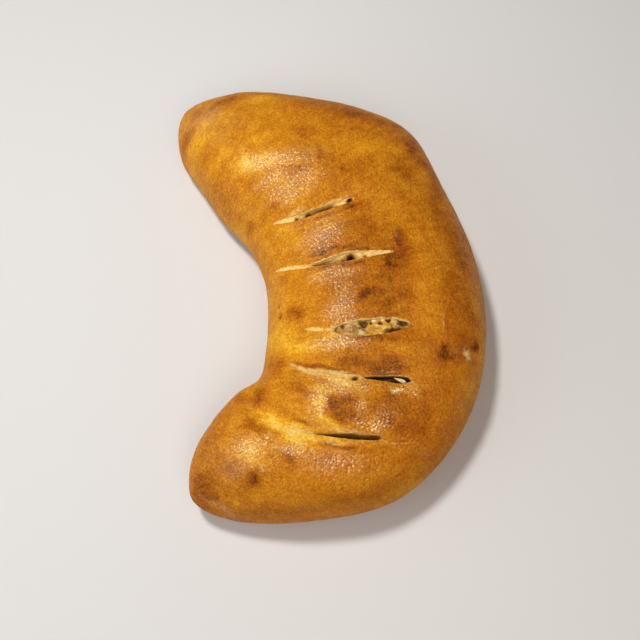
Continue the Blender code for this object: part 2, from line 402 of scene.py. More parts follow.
def slash_stations(angles):
    """For every slash and column: the s where they cross, and how many mm one unit of s is."""
    s = np.linspace(*SLASHED_STRETCH, SEARCH_STEPS)
    skin, _ = smooth_skin(s[:, None], angles[None, :], loaf_rails)
    stations, rates = [], []
    for slash in SLASHES:
        side = skin[..., 1] - line_height(slash["line"], skin[..., 0])
        crossed = np.argmax((side[:-1] > 0) & (side[1:] <= 0), axis=0)
        columns = np.arange(len(angles))
        before, after = side[crossed, columns], side[crossed + 1, columns]
        place = s[crossed] + (s[1] - s[0]) * before / (before - after)
        travel = (skin[crossed + 1, columns] - skin[crossed, columns])[:, :2] / (s[1] - s[0])
        x = skin[crossed, columns, 0]
        slope = line_height(slash["line"], x + 0.5) - line_height(slash["line"], x - 0.5)
        rate = np.abs(travel[:, 0] * slope - travel[:, 1]) / np.hypot(1, slope)
        stations.append(place)
        rates.append(np.maximum(rate, LEAST_RATE))
    return np.array(stations), np.array(rates)


angles = column_angles()
stations, rates = slash_stations(angles)
print("columns:", len(angles), "slash stations:", stations.mean(axis=1).round(3))

# %% [markdown]
# Now the rows themselves. A scar is a shallow bowl. Where the dough tore open the walls are
# steep, and the skin beside them dried, shrank and curled up into a low lip. Eleven rows make
# the pit and six the lip on each side, which is enough to round them without Subdivision.

# %% The rows, with the slashes' profile
TORN_FROM, TORN_RUN, STEEPEST_RUN = 0.8, 2.0, 3.0  # depths in mm over which a cut is torn
LIP_RAISE, LIP_PEAK, LIP_SPREAD = 0.32, 0.8, 0.9   # the lip that dried and curled up, in mm
LIP_FADE_FROM, LIP_FADE_RUN = 1.5, 1.9
FULL_LIP_HALF = 0.8                                # a narrower cut has a lower lip
SCAR_POWER, TORN_POWER = 2, 8                      # a scar is a shallow bowl, a torn cut a pit

rails_length = np.linalg.norm(np.diff(loaf_rails[1][:, :2], axis=0), axis=1).sum()


def torn_share(depth):
    """0 where a cut is only a scar, 1 where it is torn open."""
    return np.clip((depth - TORN_FROM) / TORN_RUN, 0, 1)


def slash_rows(number):
    """Rows across one slash from back to front: s, depth, distance outside the edge.

    In the pit the distance is -1. A negative depth is a raised lip.
    """
    slash, station, rate = SLASHES[number], stations[number], rates[number]
    skin, _ = smooth_skin(station[None, :], angles[None, :], loaf_rails)
    x = skin[0, :, 0]
    rows = []
    for side, shares in ((-1, PIT_ROWS[::-1]), (1, PIT_ROWS[1:])):
        half, depth = cut_shape(slash, x, side, number)
        spread = np.hypot(half, LEAST_HALF)
        steep_share = np.clip((depth - TORN_FROM) / STEEPEST_RUN, 0, 1)
        steepness = SCAR_POWER + (TORN_POWER - SCAR_POWER) * steep_share
        pit = []
        for share in shares:
            across = side * share * spread
            leaning = 1 + slash["lean"] * side * share
            below = (depth + hole_depth(slash, x, across)) * (1 - share ** steepness) * leaning
            pit.append((station + across / rate, below, -1.0 + 0 * x))
        open_share = torn_share(depth) * np.clip(half / FULL_LIP_HALF, 0, 1)
        lip = []
        for out in LIP_ROWS:
            raised = LIP_RAISE * open_share * np.exp(-(((out - LIP_PEAK) / LIP_SPREAD) ** 2))
            raised = raised * (1 - np.maximum(out - LIP_FADE_FROM, 0) / LIP_FADE_RUN)
            lip.append((station + side * (spread + out) / rate, -raised, out + 0 * x))
        rows += lip[::-1] + pit if side < 0 else pit + lip
    return rows


def build_rows():
    """All rows of the grid from the back tip to the front tip."""
    rows = []
    last = np.zeros(len(angles))
    far = np.full(len(angles), FAR)
    for number in range(len(SLASHES) + 1):
        is_last = number == len(SLASHES)
        bundle = [] if is_last else slash_rows(number)
        goal = np.ones(len(angles)) if is_last else bundle[0][0]
        count = max(LEAST_ROWS, int((goal - last).mean() * rails_length / ROW_PITCH))
        shares = np.linspace(0, 1, count + 1)[(1 if number else 0) : (None if is_last else -1)]
        rows += [(last + (goal - last) * share, 0 * far, far) for share in shares]
        rows += bundle
        if bundle:
            last = bundle[-1][0]
    return [np.array(column) for column in zip(*rows)]


grid_s, grid_depth, grid_reach = build_rows()
print("grid:", grid_s.shape, "smallest step:", np.diff(grid_s, axis=0).min())

# %% [markdown]
# ## The skin of the dough
#
# The relief comes next: soft swells left by the roll, the sunken valley along every slash, the
# pinch at the inner corner of the bend, creases and raised strands beside the slashes, and a
# few blisters. A brush could sculpt them, but nobody could then say how deep one is. Here each
# is a short formula of the place in plan, so each can be measured and changed on its own.

# %% Relief
PINCH = ((-43, -56), (-44, -68), (-45, -80), (-38, -88))
PINCH_DEPTH, PINCH_WIDTH = 3.0, 5.0
VALLEY_DEPTH, VALLEY_WIDTH = 1.8, 6.0
SWELL_HEIGHT, SLANT_HEIGHT = 0.7, 0.5   # swells in two directions
# Creases: the line in plan, how deep it is, how wide, and the height of the roll beside it, all
# in mm. A negative depth is a raised strand of dough.
CREASES = (
    (((-21, -103), (-6, -106), (6, -108), (13, -107)), 0.8, 0.9, 0.45),
    (((-48, -84), (-45, -92), (-40, -98)), 1.0, 1.6, 0.5),
    (((-27, -90), (-19, -93), (-9, -95)), 0.6, 0.9, 0.4),
    (((-42, -68), (-42, -76), (-44, -82)), 0.8, 1.8, 0.3),
    (((60, -40), (59, -51), (58.5, -58)), -0.5, 0.8, 0.0),
    (((62, -42), (61.5, -51), (61, -57)), 0.5, 1.1, 0.0),
    (((57, -60), (60, -67), (68, -69)), 0.5, 1.2, 0.2),
    (((18, -71.8), (26, -71.9), (33, -73.2), (37.6, -76.6), (37.2, -80)), -0.35, 0.7, 0.0),
    (((14, -78.2), (22, -78.8), (27, -80.4), (33, -81.6)), -0.4, 0.7, 0.0),
)
ROLL_AWAY, ROLL_SPREAD = 2.2, 1.5       # the roll's place and width, in widths of the crease
PATH_POINTS = 13
# Blisters: place in plan, radius and height, all in mm. A negative height is a burst one.
BLISTERS = (
    (42, 4, 2.4, 0.9), (2, -88.5, 10, 1.0), (20, -29, 5, 0.4), (-32, -58, 6, 0.6),
    (57, -63, 2.6, -0.7), (69, -63, 2.2, 0.9), (77, -59, 2.4, -0.6), (7, 58, 4, 0.4),
)


def distance_to_path(x, y, path):
    """Distance in plan from every point to a line of straight pieces."""
    nearest = np.full(np.shape(x), 1e9)
    for (ax, ay), (bx, by) in zip(path, path[1:]):
        run_x, run_y = bx - ax, by - ay
        t = np.clip(((x - ax) * run_x + (y - ay) * run_y) / (run_x ** 2 + run_y ** 2), 0, 1)
        nearest = np.minimum(nearest, np.hypot(x - ax - t * run_x, y - ay - t * run_y))
    return nearest


def slash_path(slash):
    """The slash's line as a row of points."""
    start, end = slash["line"][0][0], slash["line"][-1][0]
    x = np.linspace(start, end, PATH_POINTS)
    return list(zip(x, line_height(slash["line"], x)))


def large_relief(x, y):
    """Swells under a millimetre high, less the pinch and the valleys."""
    swell = SWELL_HEIGHT * np.sin(x / 15 + 1.0) * np.cos(y / 21)
    swell = swell + SLANT_HEIGHT * np.sin((x + 1.6 * y) / 12)
    relief = swell - PINCH_DEPTH * np.exp(-((distance_to_path(x, y, PINCH) / PINCH_WIDTH) ** 2))
    for slash in SLASHES:
        reach = distance_to_path(x, y, slash_path(slash))
        relief = relief - VALLEY_DEPTH * np.exp(-((reach / VALLEY_WIDTH) ** 2))
    return relief


def small_relief(x, y):
    """Creases with the roll of dough beside them, and blisters."""
    relief = np.zeros(np.shape(x))
    for path, depth, width, roll in CREASES:
        relief = relief - depth * np.exp(-((distance_to_path(x, y, path) / width) ** 2))
        beside = distance_to_path(x, y + ROLL_AWAY * width, path) / (ROLL_SPREAD * width)
        relief = relief + roll * np.exp(-(beside ** 2))
    for bx, by, radius, height in BLISTERS:
        away = np.hypot(x - bx, y - by) / radius
        relief = relief + height * np.exp(-(away ** 4))
    return relief


print("creases and strands:", len(CREASES), "blisters:", len(BLISTERS))

# %% [markdown]
# Now the smooth dome, its relief and its cuts come together. Both fade out towards the widest
# line, because the knife and the roll's swells belong to the top of the loaf. The points move
# straight up and down only, so the outline in plan stays that of the ribs.

# %% The crust's points
CUT_FADE = 8        # cuts reach their full depth an eighth of the way up the dome


def crust_points():
    """The grid's points in mm, and how far up the dome each one lies."""
    points, up_share = smooth_skin(grid_s, angles[None, :], loaf_rails)
    x, y = points[..., 0], points[..., 1]
    points[..., 2] += (large_relief(x, y) + small_relief(x, y)) * up_share
    points[..., 2] -= grid_depth * np.minimum(1, up_share * CUT_FADE)
    return points, up_share


crust_grid, crust_up = crust_points()
print("crust height:", crust_grid[..., 2].max().round(1), "mm")

# %% [markdown]
# ## How far each place has browned
#
# An oven browns bread unevenly: thin folds and bubbles darken first, stretched dough stays
# yellow, and dough that was torn open late stays pale. The egg wash dried to a gloss in some
# places only. These differences could be painted into a picture. Here they are stored on the
# mesh as attributes, because they follow places on the loaf, and a finish can read them at any
# size of render. Every mark is a soft oval.

# %% Scorched marks
# Each mark: place in plan, half length and half width in mm, turn in degrees, and strength.
# Scorched and browned marks darken the crust, golden ones make it lighter, and glazed ones
# give it the gloss of dried egg wash and a pale film that is partly painted sheen. One browned
# mark, a thin line just in front of the third slash, is painted shadow.
SCORCHED = (
    (20, -29, 5.2, 3, 24, 0.35), (20, -29, 2.9, 1.3, 29, 0.19), (-18, -31, 5, 3.7, -21, 0.26),
    (-27, -30, 1.2, 1.8, -33, 0.4), (-26, -24, 0.9, 1.5, -32, 0.26), (36, -12, 2.9, 5.7, -4, 0.27),
    (42, 2, 2.4, 5.4, -2, 0.27), (30, -37, 4, 3, -6, 0.16), (39, -30, 4, 3.7, -4, 0.14),
    (6, 60, 1.8, 5.9, -9, 0.18), (7, 57, 2.6, 2.4, -43, 0.12), (17, 48, 0.9, 0.6, -6, 0.42),
    (19, 46, 3.6, 2.8, -6, 0.16), (50, 47, 5.2, 4.6, 8, 0.2), (-23, 33, 3.2, 2.4, -20, 0.23),
    (-38, 29, 4.1, 3, -35, 0.29), (-43, -74, 3.7, 5.2, -16, 0.26), (-47, -88, 3.7, 5.2, -58, 0.26),
    (-43, -94, 3.6, 3.6, -57, 0.24), (-48, -116, 5.2, 4.2, -9, 0.36),
    (-30, -109, 4.3, 2.6, -36, 0.3), (58, -62.5, 2.7, 4, 2, 0.38), (60, -66, 3.8, 1.5, -6, 0.3),
    (71, -67.2, 2.2, 1.2, 0, 0.3), (74.5, -59, 2.6, 1.8, 14, 0.36),
    (-75, -112, 7.2, 4.3, -46, 0.27), (-46, 117, 10, 5, 16, 0.2), (-65, 115, 4.6, 5.6, -21, 0.16),
    (-72, 100, 5.6, 8.2, -52, 0.19), (55, 83, 2.6, 3.2, -46, 0.29), (-33, 74, 3.2, 2.9, -14, 0.16),
    (55, -66, 3, 2.2, 0, 0.22), (-30, 30, 3, 3, 0, 0.12), (65, 55, 3.2, 4.5, -60, 0.26),
)
print("scorched marks:", len(SCORCHED))

# %% Browned marks
BROWNED_AND_SHADOW = (
    (24, -69, 10, 3.7, -5, 0.22), (7, -65, 7.6, 2.8, -8, 0.19), (-19, -76, 7.7, 3.4, -20, 0.19),
    (1, -88, 10.5, 8.5, -7, 0.1), (23, -89, 8.7, 6.4, -4, 0.2), (35, -93, 12.1, 11.1, -2, 0.14),
    (32, -26, 12.2, 18.1, -5, 0.14), (1, 60, 4.8, 2.1, 15, 0.16), (23, 11, 6.8, 6.5, -7, 0.09),
    (20, 23, 5.1, 4, -7, 0.16), (-31, -57, 6.2, 5.4, -30, 0.17), (0, 78, 8.7, 4.9, -23, 0.16),
    (31, 93, 10, 5.5, -24, 0.16), (44, 84, 7.2, 3.3, -25, 0.14), (59, 62, 4, 13.8, -15, 0.2),
    (70, 37, 4.7, 19.8, -13, 0.2), (76, 9, 5.5, 17.9, 11, 0.16), (66, -35, 8.6, 24.8, 6, 0.12),
    (-8, 52, 7, 3.4, 12, 0.2), (5, -1.2, 12.8, 0.9, 5, 0.3), (12, -10.6, 14.6, 1, -1, 0.22),
    (27, -55, 10.8, 1.7, -6, 0.2), (23, -41, 14.3, 1.5, -7, 0.14), (-8, -65, 14.4, 1.2, -19, 0.41),
    (-19, -93, 6.4, 1.2, -18, 0.49), (-6, -106, 11.4, 1.3, -15, 0.46),
    (20, -126, 7.7, 2.5, 15, 0.14), (-63, -104, 8.4, 6.7, 25, 0.08),
    (-57, -111, 6.7, 3.4, -11, 0.16), (-76, -99, 4.9, 9.6, 0, 0.11), (24, -8, 62, 24, 85, 0.12),
    (8, -26, 17, 13, 90, 0.12), (45, 78, 24, 12, -38, 0.14), (77, -6, 14, 7, 80, 0.12),
    (44, -6, 8, 4.5, 90, 0.14), (-68, -92, 15, 6, 52, 0.16), (-80, -117, 9, 6, -50, 0.2),
    (2, 5, 8, 6, 0, 0.14), (18, 38, 10, 8, 0, 0.08), (-4, -84, 4, 3, -8, 0.1),
    (31, -69, 3.1, 4.2, -4, 0.14), (66, -50, 5.2, 9.5, 6, 0.08), (66, -63, 2.9, 3.2, 7, 0.12),
    (-46, 112, 17, 7.6, 14, 0.18), (24, -3.6, 10.7, 0.8, -4, 0.2), (4, 20, 8.7, 0.9, 8, 0.22),
    (17, 23, 7.7, 0.9, 8, 0.18), (59, 64, 3.2, 12.3, -41, 0.1), (-81, -114, 5.2, 4.1, -50, 0.12),
    (-22, -11, 5, 5, 0, 0.12), (-34, -50, 4, 7, 80, 0.12), (18, 76, 7, 4, 0, 0.13),
    (76, -14, 4, 9, 10, 0.12), (60, -93, 7, 10, -40, 0.1), (-70, -121, 6, 2.5, -30, 0.1),
    (28, -100, 8, 5, 0, 0.14), (-52, 52, 14, 4, -57, 0.13), (-25, 20, 12, 2.5, 0, 0.08),
    (55, 42, 6, 4, 0, 0.12), (69, 5, 5, 10, 10, 0.12), (43, -8, 4, 6, 0, 0.2),
    (-2, -1, 5, 2.5, 0, 0.14), (-20, -33, 6, 4, 0, 0.1), (52, -20, 4, 8, 0, 0.1),
    (75, -42, 4, 10, 10, 0.16), (28, -65, 4, 4, 0, 0.22), (24, -72, 12, 1.8, -5, 0.16),
    (68, -62, 5, 5, 0, 0.08), (56, -78, 16, 6, 50, 0.09), (42, -88, 3, 9, 0, 0.12),
    (39, -103, 4, 3, 0, 0.14), (-12, -112, 5, 4, 0, 0.1), (-68, -103, 5, 4, 0, 0.08),
    (-73, -121, 9, 3, -30, 0.2), (-8, -131, 34, 2.5, 4, 0.1), (25, 92, 12, 5, -20, 0.1),
    (8, 52, 4, 4, 0, 0.12), (10, -62, 20, 5, -5, 0.1), (30, 70, 12, 8, 0, 0.06),
    (60, 20, 10, 18, 0, 0.04), (18, -91, 5, 7, 0, 0.08), (36, -11, 3, 5, 0, 0.14),
    (-52, -73, 7, 3, -40, 0.12), (22, -97, 3, 5, 0, 0.12), (-66, -129, 14, 2.5, -25, 0.12),
    (54, -65, 4, 2, 0, 0.12), (5, 106, 26, 7, -12, 0.1), (19, -78, 10, 1.2, -8, 0.08),
    # The first mark on this line is painted shadow: a thin dark line just in front of the third
    # slash.
    (17, -52.4, 10, 1.3, -3, 0.34), (1, -9.5, 3, 3, 0, 0.12), (1, -2, 3, 2.5, 0, 0.1),
    (15, 84, 9, 7, 0, 0.08), (66, 54, 5, 7, 0, 0.08), (-68, -115, 6, 3, -30, 0.1),
    (20, -95, 5, 6, 0, 0.04), (-10, -116, 18, 5, -8, 0.04), (-26, -35, 7, 30, 0, 0.05),
    (-12, -85, 3.5, 6, -8, 0.05), (-10, -116, 18, 5, -8, 0.03), (1, 3, 5, 8, 0, 0.09),
    (2, -7, 5, 3, 0, 0.08), (-26, -14, 5, 8, 0, 0.06), (-55, -130, 16, 3, -5, 0.06),
    (-62, -105, 4, 8, 0, 0.05), (-12, -113, 6, 3.5, 0, 0.09), (25, -83, 5, 3, 0, 0.07),
    (8, -92, 3.5, 5, 0, 0.07), (55, -68, 8, 3, 0, 0.06), (40, -54, 6, 5, 0, 0.06),
    (38, -12, 4, 9, 0, 0.05), (-41, -76, 4, 6, 0, 0.13), (-44, -92, 3, 3, 0, 0.04),
    (30, -79.6, 5, 2, -8, 0.12), (22, -72.6, 10, 1.2, -6, 0.16), (4, -107.5, 11, 2, -8, 0.05),
    (5, -99.6, 10, 1.3, -12, 0.08), (-17, -34, 5, 5, 0, 0.06), (-36, -60, 4, 8, 0, 0.08),
    (-54, -118, 10, 5, 0, 0.05), (22, 26, 8, 4, 0, 0.05), (3, 22, 7, 4, 0, 0.07),
    (5, 60, 14, 12, 0, 0.04), (50, -60, 6, 6, 0, 0.04), (2, -6.4, 5, 3, 0, 0.12),
    (35, -72, 5, 2.6, 0, 0.16), (28, 27, 3, 3, 0, 0.1), (-24, 31, 4, 3, 0, 0.1),
    (68, -23, 4, 5, 0, 0.09), (66, -39, 5, 5, 0, 0.07), (42, -52, 6, 8, 0, 0.06),
    (45, 4, 3, 4, 0, 0.08), (-15, -77, 4, 2.5, 0, 0.07), (7, -95, 5, 3, 0, 0.09),
    (-45, -129, 18, 3, -8, 0.05), (-37, 22, 4, 6, 0, 0.05), (32, -18, 4, 9, 0, 0.05),
    (40, -38, 3, 3, 0, 0.08), (-62, -106, 3, 5, 0, 0.05), (24, -84, 4, 2.5, 0, 0.06),
    (30, -56, 6, 4, 0, 0.05), (44, -72, 7, 6, 0, 0.06), (74, -10, 6, 40, 5, 0.05),
    (10, 92, 30, 8, -15, 0.04), (60, 0, 10, 30, 0, 0.03),
)
print("browned marks:", len(BROWNED_AND_SHADOW))

# %% Golden and glazed marks
GOLDEN = (
    (-39, 64, 7.5, 4.3, 3, 0.18), (-29, -40, 10, 14.3, -30, 0.19), (-38, -88, 7, 4, -31, 0.3),
    (-30, -94, 9, 4.5, -34, 0.27), (-24, -100, 8, 4, -24, 0.32), (-20, 19, 7.6, 3.2, -13, 0.16),
    (-66, 88, 8.2, 10.2, -41, 0.14), (-23, 112, 11, 3.7, -19, 0.14), (53, -21, 5.4, 26.6, -5, 0.08),
    (31, 63, 8.8, 6.6, -2, 0.11), (52, 3, 5, 8.5, 2, 0.08), (-11, -85, 2.2, 6.5, -8, 0.22),
    (-9, -77, 11.3, 1.8, -19, 0.19), (-27, -13, 8.2, 10.1, -38, 0.11),
    (41, -78, 15.1, 16.6, -1, 0.05), (-8, -103, 13.2, 1.5, -14, 0.27),
    (-61, 104, 10.9, 5.4, -22, 0.08), (-23, -52, 11.6, 5.1, -22, 0.16), (26, -124, 28, 6, 8, 0.12),
    (68, -84, 26, 6, 62, 0.05), (-25, 58, 10, 4, 10, 0.12), (-48, -104, 5, 6, 0, 0.12),
    (-5, -96, 6, 1.5, -42, 0.16), (-4, -98.6, 6, 1.4, -11, 0.08), (-8, -106, 9, 1.4, -11, 0.12),
    (-72, -123, 9, 1.5, -37, 0.2), (1, -49, 4.8, 1.9, -26, 0.16), (-47, -98, 2.6, 7.2, -10, 0.12),
    (-44, -95, 2.1, 3.1, -10, 0.14), (-7, -70, 11.5, 1.8, -24, 0.16), (-28, 62, 13, 5, 20, 0.12),
    (-50, 72, 8, 4, 30, 0.1), (-37, 62, 5, 5, 0, 0.16), (-30, 76, 7, 3, 20, 0.12),
    (-10, -54, 9, 3, -12, 0.1), (3, -75.5, 9, 2.8, -25, 0.22), (-47, -80, 4, 6, -20, 0.1),
    (-9, -92, 4, 2, -35, 0.16), (-47, -106, 4, 4, 0, 0.1), (-41, -85, 6, 3.5, -31, 0.1),
    (-22, -96, 6, 2.5, -20, 0.12), (-12, -94, 7, 3, -15, 0.14), (-2, -97.5, 8, 2.2, -12, 0.06),
    (-14, -104, 7, 1.6, -12, 0.08), (-35, 111, 22, 5, -8, 0.09), (81, -46, 4, 16, 0, 0.06),
    (63, -94, 4, 8, -35, 0.08), (-12, -85, 3.5, 6, -8, 0.08), (-20, -92, 4, 3, 0, 0.14),
    (-37, -103, 4, 3, 0, 0.14), (-52, -90, 4, 5, 0, 0.12), (-53, -114, 6, 3, 0, 0.12),
    (-22, -130, 8, 3, 0, 0.12), (28, -127, 12, 4, 15, 0.1), (72, -78, 4, 18, -35, 0.04),
    (40, 23, 6, 4, 0, 0.12), (77, 2, 4, 5, 0, 0.14), (-43, 30, 3, 16, 35, 0.12),
    (-20, 48, 4, 5, 0, 0.1), (-9, 37, 6, 4, 0, 0.12), (-30, 75, 6, 4, 20, 0.1),
    (-48, 100, 8, 8, 0, 0.05), (26, -41, 6, 1.5, 0, 0.1), (-78, -104, 3, 9, 0, 0.08),
    (54, -47, 3.5, 13, 2, 0.07), (-50, 110, 5, 6, 0, 0.05), (-42, 90, 5, 14, 0, 0.04),
    (-25, -60, 4, 6, 0, 0.06), (20, -27, 6, 3, 0, 0.08), (-10, 72, 10, 5, 0, 0.04),
    (-47, -79, 3, 4, 0, 0.06), (66, -40, 5, 10, 0, 0.05), (-24, -43, 4.5, 7, 0, 0.09),
    (2, 40, 7, 4, 0, 0.05), (79, -62, 3, 14, -15, 0.07), (62, -95, 4, 4, -30, 0.07),
    (14, -106.6, 8, 1.4, -4, 0.06), (32, -82, 4, 3, 0, 0.05), (-27, -61, 3, 4, 0, 0.05),
    (-10, -46, 6, 3, 0, 0.05),
)
GLAZED = (
    (-5, 61, 12.2, 5.8, -1, 0.78), (-21, 61, 10.8, 4.9, 9, 0.7), (-6, 46, 12, 7, 5, 0.66),
    (-17, 38, 10.7, 5.9, -1, 0.66), (6, 14, 8.9, 9.1, 45, 0.75), (-3, 5, 10.4, 7.2, -3, 0.6),
    (7, -14, 10.2, 3.5, -5, 0.9), (-3, -16, 7.8, 4.8, -13, 0.4), (9, -27, 5.6, 8.2, -9, 0.58),
    (5, -37, 7.6, 6.7, -10, 0.66), (2, -53, 11.2, 3.2, -10, 0.95), (-8, -54, 7.6, 3.4, -12, 0.4),
    (-5, -71, 13, 2.8, -20, 0.85), (11, -78, 4.2, 3, -7, 0.7), (-12, -83, 4.9, 8.6, -8, 0.7),
    (10, -88, 3, 4.2, -6, 0.45), (16.5, -98.5, 5, 4.3, -4, 0.6), (23, -92, 4.9, 3.5, -4, 0.14),
    (29, -81, 4.9, 1.7, -4, 0.6), (-50, -102, 7, 6, -10, 0.75), (-28, -105.5, 8, 3, -15, 0.8),
    (-56, -111, 7.6, 4.3, -11, 0.5), (-44, -112, 1.8, 1.7, -9, 0.7), (-9, -113.5, 19, 7, -14, 0.27),
    (-70, -123, 10, 1.4, -37, 0.6), (-55, 109, 11.5, 8.3, 2, 0.3), (42, 4, 1.3, 1.3, -2, 1),
    (-28, 62, 8, 4, 15, 0.5), (-22, 50, 8, 4, 20, 0.6), (60, -64, 14, 5, 0, 0.15),
    (0, -77, 7.1, 2.6, -20, 0.8), (29, -82, 3.6, 1.5, -4, 0.8), (-42, -98, 4, 3.5, -9, 0.5),
    (7, -97, 3, 3, 0, 0.3), (38, -112, 6, 3, -8, 0.2), (-36, 64, 8, 8, 0, 0.35),
    (-52, 86, 12, 6, -60, 0.22), (4, -75, 9, 3, -25, 0.5), (-12, 20, 10, 4, 5, 0.25),
    (-62, 104, 16, 9, -30, 0.3), (80, -15, 4, 45, 4, 0.2), (66, -84, 4, 22, -38, 0.2),
    (-40, 92, 10, 8, -30, 0.2), (4, -52.5, 11, 4, -8, 0.5), (-57, -103, 20, 13, -10, 0.22),
    (-30, 48, 6, 4, 20, 0.3), (36, -83, 5, 3, 0, 0.3), (-2, -78, 8, 4, -20, 0.25),
    (-27, -18, 5, 28, 0, 0.14), (-44, 44, 6, 26, 35, 0.12),
)
print("golden marks:", len(GOLDEN), "glazed marks:", len(GLAZED))

# %% Crisp, torn and ruddy marks
# Browned places with a clear edge: the top of the round blister, and the side of a fold, whose
# darkness is painted shade.
CRISP_AND_FOLD_SHADE = (
    (-0.2, -88.2, 8.9, 8.0, 0, 0.2), (56.6, -62.9, 2.4, 4.2, 0, 0.16),
    (75.7, -58.8, 1.6, 2.4, 0, 0.2), (-5.6, -87.0, 3.0, 5.6, 0, 0.05),
)
# Small places where dry, pale dough shows: torn lips, folds and one burst blister. One pale mark
# beside the third slash is painted sheen.
TORN_AND_SHEEN = (
    (69.8, -63.8, 1.9, 3.1, 8, 0.8), (7, -72, 5.6, 0.7, -26, 0.3), (0, -68.6, 4.6, 0.7, -22, 0.4),
    (0, -43.6, 2.6, 0.6, 16, 0.5), (0, -46.8, 2.7, 0.6, -31, 0.45), (27, -72.1, 7, 0.6, -2, 0.3),
    (21, -78.8, 7, 0.6, -8, 0.34), (-1, -3.6, 7.4, 0.4, 8, 0.35), (59, -47, 0.5, 6, 3, 0.4),
    (-17, -98.6, 4.5, 1.4, -32, 0.25), (-11, 25.9, 6, 1.1, 15, 0.42), (12, 29.1, 7, 0.8, 14, 0.45),
    (28, -82, 4, 1.2, -8, 0.25), (3, -76, 5, 1.8, -25, 0.3), (-22, -97, 6, 2, -22, 0.14),
    (-12, -95, 7, 1.6, -12, 0.16), (-2, -98.8, 9, 1.6, -12, 0.24), (2, -79.8, 8, 2.4, -15, 0.24),
    (-6, -105.2, 8, 0.8, -12, 0.3), (-13, 26.4, 7, 1.3, 8, 0.22), (15, 29.9, 5, 0.9, 14, 0.2),
    (-37, -96, 4, 3, -30, 0.06), (-21, -103.5, 5, 1.5, -15, 0.25), (-46, -79, 3, 4, -20, 0.1),
    # The first mark on this line is painted sheen, a pale gloss beside the third slash.
    (3, -53, 10, 1.8, -12, 0.16), (0, -73.6, 7, 1.8, -25, 0.14), (37.4, -78.4, 0.8, 2.6, 10, 0.4),
    (31, -81.6, 4.4, 1, -5, 0.3), (-6, -104, 9, 1.3, -8, 0.2), (4, -100.4, 10, 0.9, -10, 0.16),
    (13, -107.2, 6, 0.6, -3, 0.16),
)
# Wide places where the skin is a redder brown: the near side and the outer shoulder.
RUDDY = (
    (-14, -122, 34, 13, 5, 0.9), (36, -110, 28, 18, 25, 0.9), (62, -72, 30, 20, 75, 0.8),
    (52, -26, 34, 12, 88, 0.7),
)
print("crisp marks:", len(CRISP_AND_FOLD_SHADE), "torn marks:", len(TORN_AND_SHEEN), "ruddy marks:", len(RUDDY))

# %% Toast, glaze and ruddy skin
BASE_TOAST, BASE_GLAZE = 0.48, 0.05    # of plain crust, where no mark lies
BASE_EDGE_TOAST = 0.68                 # of the underside and its edge
UNDER_FROM, UNDER_RUN = 0.15, 0.5      # where the section turns under and that tone sets in
CRISP_EDGE = 3.0                       # how clear the edge of a crisp mark is
SCAR_GLAZE_DEPTH = 1.3                 # a scar that is deeper than this in mm has no gloss
EDGE_GLAZE = 0.2                       # the share of its gloss that the edge of a cut keeps
GLAZE_BURNT_OFF, RUDDY_BURNT_OFF = 2.4, 3.0


def wander(x, y):
    """Pushes places about by half a millimetre, so that no mark keeps a clean outline."""
    shift_x = 0.5 * np.sin(y / 2.1 + 0.6) + 0.3 * np.sin(x / 1.3 + y / 2.6)
    shift_y = 0.5 * np.sin(x / 2.3 + 2.0) + 0.3 * np.cos(y / 1.5 - x / 3.2)
    return x + shift_x, y + shift_y


def soft_marks(x, y, marks, sharpness=1.2):
    """All the marks of one kind, added up. A higher sharpness gives them a clearer edge."""
    total = np.zeros(np.shape(x))
    for mark_x, mark_y, length, width, turn, strength in marks:
        c, s = cos(radians(turn)), sin(radians(turn))
        along = ((x - mark_x) * c + (y - mark_y) * s) / length
        aside = ((y - mark_y) * c - (x - mark_x) * s) / width
        total = total + strength * np.exp(-((along ** 2 + aside ** 2) ** sharpness))
    return total


def unburnt(x, y, strength):
    """1 on sound crust, down to 0 where it is scorched."""
    return np.clip(1 - strength * soft_marks(x, y, SCORCHED), 0, 1)


def toast_level(points):
    """How dark the crust has baked, from 0 to 1, with a little painted shade in it."""
    x, y = wander(points[..., 0], points[..., 1])
    toast = BASE_TOAST + soft_marks(x, y, SCORCHED) + soft_marks(x, y, BROWNED_AND_SHADOW)
    toast = toast + soft_marks(x, y, CRISP_AND_FOLD_SHADE, CRISP_EDGE)
    toast = np.clip(toast - soft_marks(x, y, GOLDEN), 0, 1)
    on_base = np.clip((-np.sin(angles)[None, :] - UNDER_FROM) / UNDER_RUN, 0, 1)
    return toast + (BASE_EDGE_TOAST - toast) * on_base


def glaze_level(points):
    """How much dried egg wash lies on the skin and on shallow scars."""
    x, y = wander(points[..., 0], points[..., 1])
    scar = (grid_reach < 0) * np.clip(SCAR_GLAZE_DEPTH - grid_depth, 0, 1)
    is_skin = np.maximum(np.clip(grid_reach + EDGE_GLAZE, 0, 1), scar)
    glaze = np.clip(BASE_GLAZE + soft_marks(x, y, GLAZED), 0, 1)
    return glaze * is_skin * unburnt(x, y, GLAZE_BURNT_OFF)


def ruddy_level(points):
    """How much redder than the rest the skin is."""
    x, y = points[..., 0], points[..., 1]
    ruddy = np.clip(soft_marks(x, y, RUDDY), 0, 1)
    return ruddy * unburnt(*wander(x, y), RUDDY_BURNT_OFF)


crust_toast = toast_level(crust_grid)
crust_glaze = glaze_level(crust_grid)
crust_ruddy = ruddy_level(crust_grid)
print("toast from", crust_toast.min().round(2), "to", crust_toast.max().round(2))

# %% [markdown]
# A torn cut shows three tones: a pale rim where the dough dried, a crumb wall that darkens
# downwards, partly by its moist colour and partly by painted shade, and a bottom of painted
# shade. Which rows of the grid lie where is known already, so these two levels are read from
# the grid, and only the small torn places need marks of their own.

